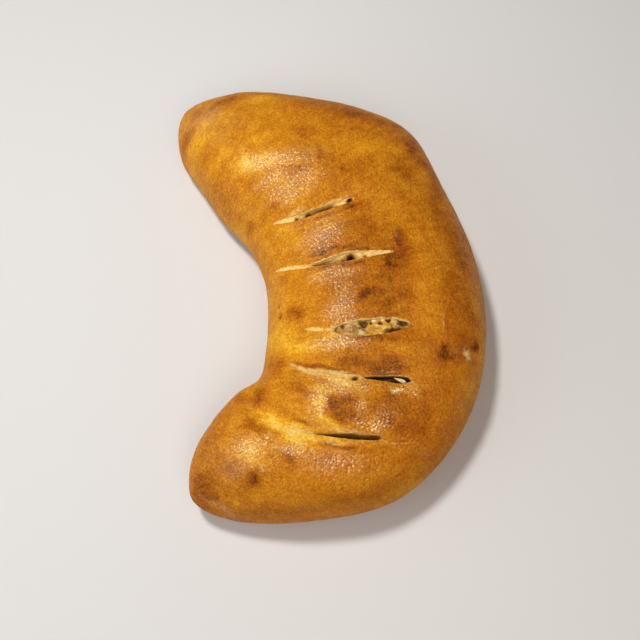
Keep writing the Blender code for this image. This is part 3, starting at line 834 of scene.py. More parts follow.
# %% Pale rims and deep walls
FULL_CUT_HALF = 0.5         # a cut narrower than this in mm fades out
DRIED_RIM, LEAST_RIM = 0.3, 0.05
RIM_WANDER, RIM_SEED = 0.35, 9
SCAR_RIM = 0.2              # a scar's rim, as a share of a torn cut's
WALL_FADE, WALL_FADE_LEAST = 1.5, 1.0   # the wall darkens over this share of its crumb, in mm
SHADED_HOLE = 3.0             # a hole this deep in mm takes full painted shade
TORN_ABOVE = 0.2            # torn marks lie above this share of the dome


def cut_colours(points):
    """Pale: dough that tore late. Deep: how far down a pit a place lies, which darkens it partly as
    moist crumb and partly with painted shade.
    """
    x = points[..., 0]
    pale = np.zeros_like(x)
    crumb_and_shade = np.zeros_like(x)
    middle = [int(np.argmin(np.abs(grid_s.mean(axis=1) - s.mean()))) for s in stations]
    for number, slash in enumerate(SLASHES):
        bundle = len(PIT_ROWS) + len(LIP_ROWS)
        rows = slice(middle[number] - bundle, middle[number] + bundle + 1)
        near = (np.arange(rows.start, rows.stop) > middle[number])[:, None]
        half, depth = cut_shape(slash, x[rows], 1, number)
        is_open = torn_share(depth)
        there = slash["scar"] + (1 - slash["scar"]) * is_open
        there = there * np.clip(half / FULL_CUT_HALF, 0, 1)
        rim = np.where(near, slash["rim"][1], slash["rim"][0])
        dried = np.clip(rim / DRIED_RIM, 0, 1)
        rim = rim * (1 + RIM_WANDER * uneven(x[rows], RIM_SEED))
        rim = rim * (SCAR_RIM + (1 - SCAR_RIM) * is_open)
        outside = grid_reach[rows]
        lip_pale = dried * np.clip(1 - outside / np.maximum(rim, LEAST_RIM), 0, 1)
        lip_pale = np.where(outside >= 0, lip_pale, 1)
        is_pit = outside < 0
        pale[rows] = np.maximum(pale[rows], lip_pale * there)
        below = np.where(is_pit, grid_depth[rows], 0)
        fade = WALL_FADE * slash["crumb"] + WALL_FADE_LEAST
        # Down the wall the crumb darkens, partly by its moist colour and partly by painted shade.
        dark = np.clip((below - slash["crumb"]) / fade, 0, 1)
        # Holes in the crumb are darkened with painted shade, by their depth.
        holes = hole_depth(slash, x[rows], across_slash(slash, points[rows])) * is_pit
        crumb_and_shade[rows] = np.maximum(dark * slash["dark"], np.clip(holes / SHADED_HOLE, 0, 1))
    torn = soft_marks(*wander(x, points[..., 1]), TORN_AND_SHEEN)
    return np.maximum(pale, torn * (crust_up > TORN_ABOVE)), crumb_and_shade


crust_pale, crust_crumb_and_shade = cut_colours(crust_grid)
print("pale places:", round(float((crust_pale > 0.5).mean()) * 100, 1), "% of the grid")

# %% [markdown]
# ## From a grid to a mesh
#
# The grid is closed round the section, and its first and last rows are single points at the
# tips. So every face but the small fans at the tips is a quad, which bends smoothly. Another
# way is to build a surface object and convert it, but a mesh can take the attributes at once.
# One more attribute, the grain, holds how far along and round the roll a point lies, because
# the streaks in rolled dough follow the roll and not the room.


# %% The crust as a mesh
def grid_mesh(name, points, floats, grain=None):
    """A closed mesh from a grid whose first and last rows are single points at the tips."""
    rows, columns = points.shape[:2]
    flat = [points[0, 0], *points[1:-1].reshape(-1, 3), points[-1, 0]]
    k = np.arange(columns)
    after = (k + 1) % columns
    first = 1 + np.arange(rows - 3)[:, None] * columns
    quads = np.stack([first + after, first + columns + after, first + columns + k, first + k], -1)
    last = 1 + (rows - 3) * columns
    end = len(flat) - 1
    faces = [(0, 1 + b, 1 + a) for a, b in zip(k.tolist(), after.tolist())]
    faces += quads.reshape(-1, 4).tolist()
    faces += [(end, last + a, last + b) for a, b in zip(k.tolist(), after.tolist())]
    mesh = bpy.data.meshes.new(name)
    mesh.from_pydata(np.array(flat) * MM, [], faces)

    def per_point(values):
        return np.array([values[0, 0], *values[1:-1].reshape(-1, *values.shape[2:]), values[-1, 0]])

    for label, values in floats.items():
        layer = mesh.attributes.new(label, "FLOAT", "POINT")
        layer.data.foreach_set("value", per_point(values).astype(np.float32))
    if grain is not None:
        layer = mesh.attributes.new("grain", "FLOAT_VECTOR", "POINT")
        layer.data.foreach_set("vector", per_point(grain).astype(np.float32).ravel())
    mesh.shade_smooth()
    thing = bpy.data.objects.new(name, mesh)
    bpy.context.scene.collection.objects.link(thing)
    return thing


def grain_field(points):
    """Distances along and round the roll in metres, for streaks that follow the dough.

    The distance round starts under the loaf, where its seam is out of sight.
    """
    steps = np.linalg.norm(np.diff(points, axis=1, append=points[:, :1]), axis=-1).mean(axis=0)
    under = DOME_COLUMNS + BASE_COLUMNS // 2
    around = np.roll(np.cumsum(np.roll(steps, -under)), under)[None, :] + 0 * grid_s
    along = grid_s * rails_length
    return np.stack([along, around, 0 * along], -1) * MM


FLAT_BELOW, FLAT_RUN = 5, 9                # wrinkles set in above this height in mm, over this
SMOOTH_EDGE, SMOOTH_RUN = 1.0, 3.0         # and this far outside a slash

above_floor = np.clip((crust_grid[..., 2] - FLAT_BELOW) / FLAT_RUN, 0, 1)
skin_share = np.clip((grid_reach - SMOOTH_EDGE) / SMOOTH_RUN, 0, 1) * above_floor
crust = grid_mesh(
    "baked_crust",
    crust_grid,
    {
        "toast": crust_toast,
        "glaze": crust_glaze,
        "ruddy": crust_ruddy,
        "pale": crust_pale,
        "crumb_and_shade": crust_crumb_and_shade,
        "skin": skin_share,
    },
    grain_field(crust_grid),
)
print("crust faces:", len(crust.data.polygons))

# %% [markdown]
# ## Building node trees in script
#
# Both Geometry Nodes and materials are trees of nodes. They can be drawn by hand in the editor,
# or written down as here, where every value can be read. Small helpers keep them short: one
# puts a node down with its inputs, one does arithmetic, two begin and end a geometry tree, and
# one runs it on an object and keeps the result as a plain mesh.


# %% Node helpers
def put(tree, kind, inputs=None, **settings):
    """Adds a node. Each input is a value, or the output socket of another node."""
    node = tree.nodes.new(kind)
    for key, value in settings.items():
        setattr(node, key, value)
    for socket, value in (inputs or {}).items():
        if isinstance(value, bpy.types.NodeSocket):
            tree.links.new(value, node.inputs[socket])
        else:
            node.inputs[socket].default_value = value
    return node


def calc(tree, operation, first, second=0.0, clamp=False):
    """One step of arithmetic. Clamped, its result stays between 0 and 1."""
    node = put(tree, "ShaderNodeMath", {0: first, 1: second}, operation=operation)
    node.use_clamp = clamp
    return node.outputs[0]


def geometry_tree(name, sizes):
    """A Geometry Nodes tree with a geometry input, named sizes and a material."""
    tree = bpy.data.node_groups.new(name, "GeometryNodeTree")
    tree.interface.new_socket("Geometry", in_out="OUTPUT", socket_type="NodeSocketGeometry")
    tree.interface.new_socket("Geometry", in_out="INPUT", socket_type="NodeSocketGeometry")
    for label, value in sizes.items():
        kind = "NodeSocketInt" if isinstance(value, int) else "NodeSocketFloat"
        socket = tree.interface.new_socket(label, in_out="INPUT", socket_type=kind)
        socket.default_value = value
    tree.interface.new_socket("Material", in_out="INPUT", socket_type="NodeSocketMaterial")
    entry = put(tree, "NodeGroupInput").outputs
    return tree, entry


def end_tree(tree, entry, geometry):
    """Makes every instance real and sets the material."""
    real = put(tree, "GeometryNodeRealizeInstances", {0: geometry}).outputs[0]
    inputs = {"Geometry": real, "Material": entry["Material"]}
    finish = put(tree, "GeometryNodeSetMaterial", inputs)
    put(tree, "NodeGroupOutput", {0: finish.outputs[0]})


def run_tree(thing, tree, values):
    """Runs the tree on the object and keeps its result as a plain mesh."""
    modifier = thing.modifiers.new(tree.name, "NODES")
    modifier.node_group = tree
    for item in tree.interface.items_tree:
        if item.in_out == "INPUT" and item.name in values:
            modifier[item.identifier] = values[item.name]
    depsgraph = bpy.context.evaluated_depsgraph_get()
    evaluated = thing.evaluated_get(depsgraph)
    mesh = bpy.data.meshes.new_from_object(
        evaluated, preserve_all_data_layers=True, depsgraph=depsgraph
    )
    thing.modifiers.clear()
    thing.data = mesh
    return thing


print("node helpers: put, calc, geometry_tree, end_tree, run_tree")

# %% [markdown]
# ## Wrinkles in the dough
#
# Rolled dough is never smooth. It has shallow lumps as wide as a fingertip, and finer wrinkles
# that run across the roll. They are real dents, so they are moved geometry and not only bump.
# Sculpting them by hand would take an hour and could not be changed. A Geometry Nodes tree
# pushes every point along its normal by noise instead, less so beside the slashes and near the
# floor, where the skin is stretched or lies flat.


# %% The wrinkle tree
WRINKLE_SIZES = {
    "Lump Height": 0.5 * MM,
    "Lump Scale": 70.0,
    "Wrinkle Height": 0.2 * MM,
    "Wrinkle Scale": 260.0,
    "Seed": 3,
}
WRINKLE_STRETCH = (1.0, 0.3, 1.0)       # wrinkles are longer round the roll than along it
WRINKLE_GAIN = 2.0                      # noise strays from its mean by a half, so it is doubled


def named_attribute(tree, label, kind):
    """An attribute of the mesh, for Geometry Nodes."""
    node = put(tree, "GeometryNodeInputNamedAttribute", {"Name": label}, data_type=kind)
    return node.outputs["Attribute"]


def seeded_noise(tree, entry, place, scale, height):
    """Noise around zero, as high as the input says. The seed gives it another pattern."""
    inputs = {"Vector": place, "W": entry["Seed"], "Scale": scale, "Detail": 2.0}
    noise = put(tree, "ShaderNodeTexNoise", inputs, noise_dimensions="4D")
    return calc(tree, "MULTIPLY", calc(tree, "SUBTRACT", noise.outputs[0], 0.5), height)


def wrinkle_tree():
    """Pushes every point along its normal by lumps and by wrinkles across the roll."""
    tree, entry = geometry_tree("dough_wrinkles", WRINKLE_SIZES)
    place = put(tree, "GeometryNodeInputPosition").outputs[0]
    grain = named_attribute(tree, "grain", "FLOAT_VECTOR")
    stretched = put(
        tree, "ShaderNodeVectorMath", {0: grain, 1: WRINKLE_STRETCH}, operation="MULTIPLY"
    ).outputs[0]
    lump = seeded_noise(tree, entry, place, entry["Lump Scale"], entry["Lump Height"])
    wrinkle = seeded_noise(
        tree, entry, stretched, entry["Wrinkle Scale"], entry["Wrinkle Height"]
    )
    skin = named_attribute(tree, "skin", "FLOAT")
    push = calc(tree, "MULTIPLY", calc(tree, "ADD", lump, wrinkle), skin)
    push = calc(tree, "MULTIPLY", push, WRINKLE_GAIN)
    normal = put(tree, "GeometryNodeInputNormal").outputs[0]
    offset = put(
        tree, "ShaderNodeVectorMath", {0: normal, "Scale": push}, operation="SCALE"
    ).outputs[0]
    inputs = {"Geometry": entry["Geometry"], "Offset": offset}
    moved = put(tree, "GeometryNodeSetPosition", inputs).outputs[0]
    end_tree(tree, entry, moved)
    return tree


wrinkles = wrinkle_tree()
print("wrinkle tree:", len(wrinkles.nodes), "nodes")

# %% [markdown]
# ## Shader helpers
#
# A finish mixes colours by levels, and a level is an attribute of the mesh, a noise, or both.
# These helpers write each of those steps in one line. Image textures would be quicker for one
# view, but a noise holds at any distance.

# %% Shader helpers
NOISE_ROUGHNESS = 0.55


def new_finish(name, surface):
    """A new material, its tree and its shader, with the surface's values set."""
    material = bpy.data.materials.new(name)
    material.use_nodes = True
    tree = material.node_tree
    shader = tree.nodes["Principled BSDF"]
    for socket, value in surface.items():
        shader.inputs[socket].default_value = value
    return material, tree, shader


def attribute(tree, label, output="Fac"):
    """An attribute of the mesh, for a material."""
    return put(tree, "ShaderNodeAttribute", attribute_name=label).outputs[output]


def texture_noise(tree, vector, scale, detail, **more):
    """Noise between 0 and 1."""
    inputs = {"Vector": vector, "Scale": scale, "Detail": detail, **more}
    return put(tree, "ShaderNodeTexNoise", inputs).outputs[0]


def speckle(tree, vector, scale, detail, strength):
    """Noise around zero, so that it can be added to a level."""
    noise = texture_noise(tree, vector, scale, detail, Roughness=NOISE_ROUGHNESS)
    return calc(tree, "MULTIPLY", calc(tree, "SUBTRACT", noise, 0.5), strength)


def mix_colour(tree, share, first, second):
    """The first colour where the share is 0, the second where it is 1."""
    node = put(tree, "ShaderNodeMix", data_type="RGBA")
    for index, value in ((0, share), (6, first), (7, second)):
        if isinstance(value, bpy.types.NodeSocket):
            tree.links.new(value, node.inputs[index])
        elif index:
            node.inputs[index].default_value = (*value, 1.0)
        else:
            node.inputs[index].default_value = value
    return node.outputs[2]


def colour_ramp(tree, factor, stops):
    """Turns a level into the colours of the stops."""
    node = put(tree, "ShaderNodeValToRGB", {0: factor})
    ramp = node.color_ramp
    while len(ramp.elements) < len(stops):
        ramp.elements.new(0.5)
    for element, (position, colour) in zip(ramp.elements, stops):
        element.position = position
        element.color = (*colour, 1.0)
    return node.outputs[0]


def along_grain(tree, stretch):
    """Places along and round the roll, stretched."""
    inputs = {0: attribute(tree, "grain", "Vector"), "Scale": stretch}
    return put(tree, "ShaderNodeMapping", inputs).outputs[0]


print("shader helpers: new_finish, attribute, speckle, mix_colour, colour_ramp, along_grain")

# %% [markdown]
# ## The colour of the baked skin
#
# Baked, egg-washed dough shades from golden yellow to a deep brown, mottled at every scale
# down to grains of a millimetre. One noise would look like a cloud, so five are added to the
# toast attribute: broad, middle, fine, finest, and one that runs in streaks round the roll.
# Where the wash lies, fine pores break it. A colour ramp turns the sum into baked colours.
# Over them come a redder skin on the near and the outer side, pale specks of painted glint,
# and a thin film where the glaze lies, which is partly the dried egg's pale colour and partly
# painted sheen.

# %% Skin colour
TOAST_COLOURS = (
    (0.00, (0.86, 0.600, 0.210)),
    (0.12, (0.86, 0.510, 0.045)),
    (0.24, (0.77, 0.376, 0.016)),
    (0.44, (0.60, 0.220, 0.006)),
    (0.66, (0.42, 0.116, 0.001)),
    (0.86, (0.24, 0.055, 0.001)),
    (1.00, (0.13, 0.026, 0.001)),
)
# Noises: scale, detail and strength. A higher scale makes a finer grain.
MARK_BREAKS = (230, 4, 1.3)             # breaks the bake marks up
MOTTLING = ((45, 3, 0.32), (170, 4, 0.42), (700, 2, 0.48), (1300, 2, 0.60))
STREAKS = (330, 2, 0.24)
STREAK_STRETCH = (1.0, 0.22, 1.0)
WASH_PORES = (1100, 2, 1.5)
RUDDY_BROWN, RUDDY_SHARE = (0.54, 0.065, 0.0005), 0.22
# Pale specks: tiny painted glints, laid into the colour.
GLINT_SPECK_COLOUR, GLINT_SPECKS = (0.96, 0.80, 0.16), (1150, 2, 0.5)
# The film of dried egg where the glaze lies: partly its own pale colour, partly painted sheen.
EGG_FILM_AND_SHEEN, EGG_FILM_AND_SHEEN_SHARE = (0.78, 0.64, 0.34), 0.11


def toast_with_noise(tree, place):
    """The toast attribute with its marks broken up, mottling, streaks and pores."""
    marked = calc(tree, "SUBTRACT", attribute(tree, "toast"), BASE_TOAST)
    broken = calc(tree, "ADD", speckle(tree, place, *MARK_BREAKS), 1.0)
    level = calc(tree, "ADD", calc(tree, "MULTIPLY", marked, broken), BASE_TOAST)
    parts = [speckle(tree, place, *noise) for noise in MOTTLING]
    parts.append(speckle(tree, along_grain(tree, STREAK_STRETCH), *STREAKS))
    pores = speckle(tree, place, *WASH_PORES)
    parts.append(calc(tree, "MULTIPLY", attribute(tree, "glaze"), pores))
    for part in parts:
        level = calc(tree, "ADD", level, part)
    return calc(tree, "ADD", level, 0.0, clamp=True)


def skin_colour(tree, place):
    """The baked colours with redder skin, specks of painted glint, and the egg's film with painted
    sheen.
    """
    baked = colour_ramp(tree, toast_with_noise(tree, place), TOAST_COLOURS)
    ruddy = calc(tree, "MULTIPLY", attribute(tree, "ruddy"), RUDDY_SHARE)
    baked = mix_colour(tree, ruddy, baked, RUDDY_BROWN)
    # Pale specks of painted glint.
    glint_specks = calc(tree, "ADD", speckle(tree, place, *GLINT_SPECKS), 0.0, clamp=True)
    glinted = mix_colour(tree, glint_specks, baked, GLINT_SPECK_COLOUR)
    # A pale film on the glaze: the egg's own colour and painted sheen.
    film_and_sheen = calc(tree, "MULTIPLY", attribute(tree, "glaze"), EGG_FILM_AND_SHEEN_SHARE)
    return mix_colour(tree, film_and_sheen, glinted, EGG_FILM_AND_SHEEN)


print("toast colours:", len(TOAST_COLOURS), "mottling noises:", len(MOTTLING))

# %% [markdown]
# ## Torn dough
#
# Dough that tore late is the colour of cream, and its edge is ragged, so the pale level is
# mixed with a noise before it is used. Down a cut the colour goes from cream through moist
# brown, which is partly painted shade, to nearly black, which is painted shade. A separate
# object for each wall would show a seam. Here the crust's one material reads the pale
# attribute and the one for crumb and painted shade.

# %% Cut colour
CREAM = (0.90, 0.64, 0.25)
# Down a cut: cream crumb, moist brown that is partly painted shade, then nearly black painted
# shade.
WALL_AND_SHADE_COLOURS = (
    (0.00, CREAM),
    (0.25, (0.54, 0.32, 0.09)),
    (0.55, (0.26, 0.105, 0.014)),
    (1.00, (0.034, 0.012, 0.003)),
)
TORN_EDGE = (600, 3, 2.0)
WALL_GRAIN = (500, 3, 0.5)
EDGE_GAIN, WALL_GAIN = 3.0, 6.0         # how quickly the pale colour, and the crumb and painted shade, set in


def masked(tree, level, mask, gain):
    """The level, but none of it where the mask is 0."""
    return calc(tree, "MULTIPLY", level, calc(tree, "MULTIPLY", mask, gain, clamp=True), clamp=True)


def cut_colour(tree, place, skin):
    """The skin's colour with pale torn dough, and the walls of the cuts darkened with painted
    shade.
    """
    pale, crumb_and_shade = attribute(tree, "pale"), attribute(tree, "crumb_and_shade")
    ragged = calc(tree, "ADD", pale, speckle(tree, place, *TORN_EDGE))
    torn = mix_colour(tree, masked(tree, ragged, pale, EDGE_GAIN), skin, CREAM)
    grained = calc(tree, "ADD", crumb_and_shade, speckle(tree, place, *WALL_GRAIN), clamp=True)
    walls = colour_ramp(tree, grained, WALL_AND_SHADE_COLOURS)
    return mix_colour(tree, calc(tree, "MULTIPLY", crumb_and_shade, WALL_GAIN, clamp=True), torn, walls)


print("wall colours:", len(WALL_AND_SHADE_COLOURS))

# %% [markdown]
# ## Bump and gloss
#
# The skin is covered in tiny domes, ripples and lines across the roll, each under half a
# millimetre high. As geometry they would take millions of faces, so they are bump. The dried
# egg is a clear coat over them. It lies in patches, so a noise of two scales, kept to where
# the glaze attribute is, gives the coat its weight, and the bump breaks it into sparkle.

# %% Crust material
CRUST_SURFACE = {
    "Roughness": 0.55,
    "Specular IOR Level": 0.03,
    "Sheen Weight": 0.04,
    "Sheen Roughness": 0.4,
    "Coat Roughness": 0.28,
}
PEBBLE_SCALE = 620.0
RIPPLE_SCALE, RIPPLE_SHARE = 350.0, 0.5
LINE_SCALE, LINE_SHARE = 480.0, 1.3
LINE_STRETCH = (1.0, 0.2, 1.0)
BUMP_HEIGHT = 0.34 * MM
GLAZE_PATCHES = ((420, 3, 1.4), (860, 1, 3.4))
GLAZE_GAIN = 3.0


def skin_bump(tree, place):
    """Bump of tiny domes, ripples and lines across the roll."""
    inputs = {"Vector": place, "Scale": PEBBLE_SCALE}
    pebble = put(tree, "ShaderNodeTexVoronoi", inputs, feature="F1").outputs[0]
    dome = calc(tree, "MULTIPLY", pebble, pebble)
    ripple = texture_noise(tree, place, RIPPLE_SCALE, 2.0)
    lines = texture_noise(tree, along_grain(tree, LINE_STRETCH), LINE_SCALE, 2.0)
    height = calc(tree, "SUBTRACT", calc(tree, "MULTIPLY", ripple, RIPPLE_SHARE), dome)
    height = calc(tree, "ADD", height, calc(tree, "MULTIPLY", lines, LINE_SHARE))
    inputs = {"Height": height, "Strength": 1.0, "Distance": BUMP_HEIGHT}
    return put(tree, "ShaderNodeBump", inputs).outputs[0]


def crust_material():
    """The crust's finish: colour, bump and a patchy coat."""
    material, tree, shader = new_finish("baked_crust", CRUST_SURFACE)
    place = put(tree, "ShaderNodeTexCoord").outputs["Object"]
    colour = cut_colour(tree, place, skin_colour(tree, place))
    tree.links.new(colour, shader.inputs["Base Color"])
    bump = skin_bump(tree, place)
    tree.links.new(bump, shader.inputs["Normal"])
    tree.links.new(bump, shader.inputs["Coat Normal"])
    glaze = attribute(tree, "glaze")
    broad, fine = (speckle(tree, place, *patch) for patch in GLAZE_PATCHES)
    patchy = calc(tree, "ADD", glaze, calc(tree, "ADD", broad, fine))
    tree.links.new(masked(tree, patchy, glaze, GLAZE_GAIN), shader.inputs["Coat Weight"])
    return material


run_tree(crust, wrinkles, {**WRINKLE_SIZES, "Material": crust_material()})
print("crust after the wrinkles:", len(crust.data.polygons), "faces")

# %% [markdown]
# ## The filling
#
# Inside lies one core of cheese and vegetables, 6 mm under the skin. Most of it is never seen,
# so it needs no detail. It could be the crust's mesh shrunk along its normals, which would
# cross itself at the tips. Instead it is lofted from the same ribs, drawn in.

# %% Core
CORE_INSET = 6.4
CORE_ROWS, CORE_COLUMNS = 150, 96


def core_grid():
    """The core's points in mm, on the crust's ribs drawn in."""
    rails = rail_tables(CORE_INSET)
    s = np.linspace(0, 1, CORE_ROWS)[:, None]
    turns = np.linspace(0, 2 * pi, CORE_COLUMNS, endpoint=False)[None, :]
    points, up_share = smooth_skin(s, turns, rails, CORE_INSET)
    points[..., 2] += large_relief(points[..., 0], points[..., 1]) * up_share
    return points


core = core_grid()
print("core height:", core[..., 2].max().round(1), "mm")

# %% [markdown]
# Where the third slash gapes, melted cheese has risen: a soft, lumpy bed with hollows and pores
# darkened by painted shade, paler curds and oily stains. Metaballs would melt together like that,
# but they can't be held inside a slash. So the bed is a fine grid. Its height is the highest of
# many domes round scattered centres, less the hollows, and it stays below the slash's lips.

# %% What lies in the bed of cheese
BED_SLASH = 2
BED_ALONG, BED_ACROSS = 150, 48
BED_START, BED_END = 2.0, 41.0
LUMPS, LUMP_REACH, LUMP_RADII, LUMP_RISE = 46, 5, (1.8, 3.4), 0.32
PORES, PORE_REACH, PORE_RADII, PORE_DEPTH = 34, 4, (0.3, 0.55), 1.1
BED_SEED = 11
# Hollows in the cheese: place along the slash, place behind its line, half length, half width
# and depth, in mm.
HOLLOWS = (
    (5.9, 1.5, 1, 1.2, 1.6), (12.6, 1.9, 0.9, 0.7, 0.6), (15, 0.2, 0.8, 0.7, 0.8),
    (16.8, 2.4, 2, 1.9, 2.2), (20.7, 2.9, 0.8, 0.7, 1.8), (25.6, 2.1, 1.2, 0.7, 1.9),
    (29.8, 3.6, 1.3, 1, 2.4), (37.4, 1.4, 2.7, 1.8, 2.6), (32.6, -2.4, 5.4, 1.3, 2.4),
    (27.9, -3.4, 1.4, 0.7, 1.8), (9.3, -1.4, 0.7, 0.5, 0.6), (23.4, -0.2, 0.9, 0.5, 0.7),
    (16.5, -0.4, 1.2, 1.1, 0.9), (35.2, -2, 2.2, 1.2, 1.6), (9.6, 0.8, 0.5, 0.45, 0.9),
    (11.2, -0.8, 0.6, 0.5, 0.8), (13.6, -1.8, 0.5, 0.4, 0.8), (10.6, 2.6, 0.5, 0.4, 0.8),
    (18.6, -2.8, 0.7, 0.5, 0.7), (7.6, -0.6, 0.4, 0.4, 0.7),
)
# Paler curds and oily orange stains on it: place, half length, half width, turn and strength.
CURDS = (
    (22.1, 3.6, 1.1, 0.9, 0, 0.9), (26.9, 4.2, 1.3, 0.7, 0, 0.9), (31.3, 3.7, 0.7, 0.6, 0, 0.8),
    (10.2, 3.4, 1.1, 0.6, 0, 0.5), (23.5, 1.3, 1, 0.7, 0, 0.7), (14.3, -2.6, 2, 0.8, 0, 0.4),
    (33, 1.5, 1.6, 1.4, 0, 0.35), (18.9, 4, 0.8, 0.5, 0, 0.4), (27.5, -0.6, 1.2, 0.7, 0, 0.5),
    (8, 1.6, 2.4, 0.9, 0, 0.3),
)
STAINS = (
    (21.0, -1.0, 2.1, 2.3, 0, 0.9), (29.3, 1.6, 1.8, 0.9, 20, 0.9), (24.6, 0.2, 1.4, 0.9, 0, 0.6),
    (24.5, 3.7, 0.9, 0.6, 0, 0.5), (8.5, -1.6, 2.5, 1.2, 0, 0.3), (5.0, 2.6, 2.0, 1.0, 0, 0.4),
    (34.0, 3.0, 2.4, 0.8, -10, 0.4), (31.0, -1.6, 3.0, 0.8, 10, 0.5),
)


def bend_places(x, behind):
    """Pushes places about a little, so that no hollow or curd is a clean oval."""
    bent_x = x + 0.25 * np.sin(behind * 2.3 + x * 0.9)
    return bent_x, behind + 0.25 * np.sin(x * 1.9 + 1.0)


def lumps_and_hollows(x, behind):
    """How far the cheese rises in lumps, and how deep it sinks in hollows and pores."""
    rng = np.random.default_rng(BED_SEED)
    lump_x = rng.uniform(BED_START, BED_END, LUMPS)
    lump_behind = rng.uniform(-LUMP_REACH, LUMP_REACH, LUMPS)
    radius = rng.uniform(*LUMP_RADII, LUMPS)
    away = np.hypot(x[..., None] - lump_x, behind[..., None] - lump_behind) / radius
    lump = (radius * LUMP_RISE * np.sqrt(np.clip(1 - away ** 2, 0, 1))).max(axis=-1)
    hollow = np.zeros_like(lump)
    bent_x, bent_behind = bend_places(x, behind)
    for hollow_x, hollow_behind, length, width, depth in HOLLOWS:
        away = np.hypot((bent_x - hollow_x) / length, (bent_behind - hollow_behind) / width)
        hollow = np.maximum(hollow, depth * np.exp(-(away ** 3)))
    for _ in range(PORES):
        pore_x = rng.uniform(BED_START, BED_END)
        pore_behind = rng.uniform(-PORE_REACH, PORE_REACH)
        size = rng.uniform(*PORE_RADII)
        away = np.hypot(bent_x - pore_x, bent_behind - pore_behind) / size
        hollow = np.maximum(hollow, PORE_DEPTH * size * np.exp(-(away ** 3)))
    return lump, hollow


print("lumps:", LUMPS, "hollows:", len(HOLLOWS), "pores:", PORES)

# %% The bed's finish levels
HOLLOW_SHADE = 1.8                       # a hollow this deep in mm takes full painted shade
GAP_LEVEL, GAP_SHADE = 0.4, 0.4          # gaps between the lumps take a little painted shade
SIDE_SHADE = 0.7                         # how much painted shade the bed takes under the lips
CHEESE_FROM, CHEESE_RUN = 17, 3         # filling gives way to cheese along the slash, in mm
CHEESE_THINS, THINNER = 31, 0.6         # and further on the cheese is thinner


def bed_levels(x, behind, edge, lump, hollow):
    """The painted shade: how deep a place lies. Tone: from moist filling at 0 to melted cheese at
    1.
    """
    dark = np.clip(hollow / HOLLOW_SHADE + GAP_SHADE * np.clip(GAP_LEVEL - lump, 0, 1), 0, 1)
    tone = np.clip((x - CHEESE_FROM + 1.2 * np.sin(behind * 1.4)) / CHEESE_RUN, 0, 1)
    bent = bend_places(x, behind)
    return {
        "dark": np.maximum(dark, SIDE_SHADE * edge ** 6),
        "tone": tone * (1 - THINNER * np.clip((x - CHEESE_THINS) / CHEESE_RUN, 0, 1)),
        "curd": np.clip(soft_marks(*bent, CURDS), 0, 1),
        "stain": np.clip(soft_marks(*bent, STAINS), 0, 1),
    }


print("curds:", len(CURDS), "stains:", len(STAINS))

# %% The bed's grid
BED_DEPTH, BED_THICKNESS = 0.9, 10.0    # below the crest, in mm
UNDER_LIP = 0.9                         # how far the bed reaches under the slash's lips, in mm
SIDE_CLIMB = 0.7                        # how much higher the bed stands at its sides
CEILING, CEILING_DROP = 1.1, 1.3        # and the height it never passes, lower at the sides
FRONT_DROP = 0.8                        # the bed dips under the front lip
START_DROP, START_RUN = 1.5, 1.2        # and where it starts on the left


def crest_over(x):
    """Height of the smooth crust over the slash."""
    skin, _ = smooth_skin(stations[BED_SLASH][None, :], angles[None, :], loaf_rails)
    skin_x, skin_y, skin_z = skin[0].T
    skin_z = skin_z + large_relief(skin_x, skin_y)
    order = np.argsort(skin_x[:DOME_COLUMNS])
    return np.interp(x, skin_x[order], skin_z[order])


def bed_grid():
    """The bed's points in mm: a lumpy top over a flat floor, closed at both ends."""
    slash = SLASHES[BED_SLASH]
    x = np.linspace(BED_START, BED_END, BED_ALONG)
    crest = crest_over(x)[:, None]
    half = np.interp(x, *np.array(slash["cut"]).T[:2]) + UNDER_LIP
    share = np.linspace(1, -1, BED_ACROSS)[None, :]
    behind = share * half[:, None]
    xs = x[:, None] + 0 * behind
    ys = line_height(slash["line"], x)[:, None] + behind
    edge = share ** 2
    lump, hollow = lumps_and_hollows(xs, behind)
    level = np.minimum(lump - BED_DEPTH + SIDE_CLIMB * edge, CEILING - CEILING_DROP * edge)
    z = crest + level - hollow - FRONT_DROP * (share < 0) * edge ** 4
    z = z - START_DROP * np.exp(-(((xs - BED_START) / START_RUN) ** 2))
    top = np.stack([xs, ys, z], -1)
    floor = top[:, ::-1][:, 1:-1].copy()
    floor[..., 2] = crest - BED_THICKNESS
    ring = np.concatenate([top, floor], axis=1)
    first, last = (end.mean(axis=1, keepdims=True) + 0 * end for end in (ring[:1], ring[-1:]))
    levels = {}
    for label, values in bed_levels(xs, behind, edge, lump, hollow).items():
        # The bed's hidden floor takes full painted shade.
        below = np.full((BED_ALONG, BED_ACROSS - 2), 1.0 if label == "dark" else 0.0)
        values = np.concatenate([values, below], axis=1)
        levels[label] = np.concatenate([values[:1], values, values[-1:]])
    return np.concatenate([first, ring, last]), levels


bed_points, bed_finish = bed_grid()
print("bed of cheese:", bed_points.shape)

# %% [markdown]
# In the fourth slash one shred of dough bridges the gap. It tore on the left, so it is a flat
# drop, thin at that end. A rounded cube could be dragged to that form. A row of shrinking
# ellipses is as simple, and its size stays written down.

# %% The shred of dough in the fourth slash
SHRED = (31.2, -76.8, 3.3, 1.35, 1.0)   # place in plan, half length, half width and half height
SHRED_TURN = radians(-27)
SHRED_SUNK, SHRED_SLOPE = 2.1, 0.05     # below the crest in mm, and how it slopes to the right
SHRED_TAPER = 0.38                      # how much thinner it is at its left end
SHRED_ROWS, SHRED_COLUMNS = 24, 20
NEAR_SHRED = 6                          # the crest is measured within this many mm of it


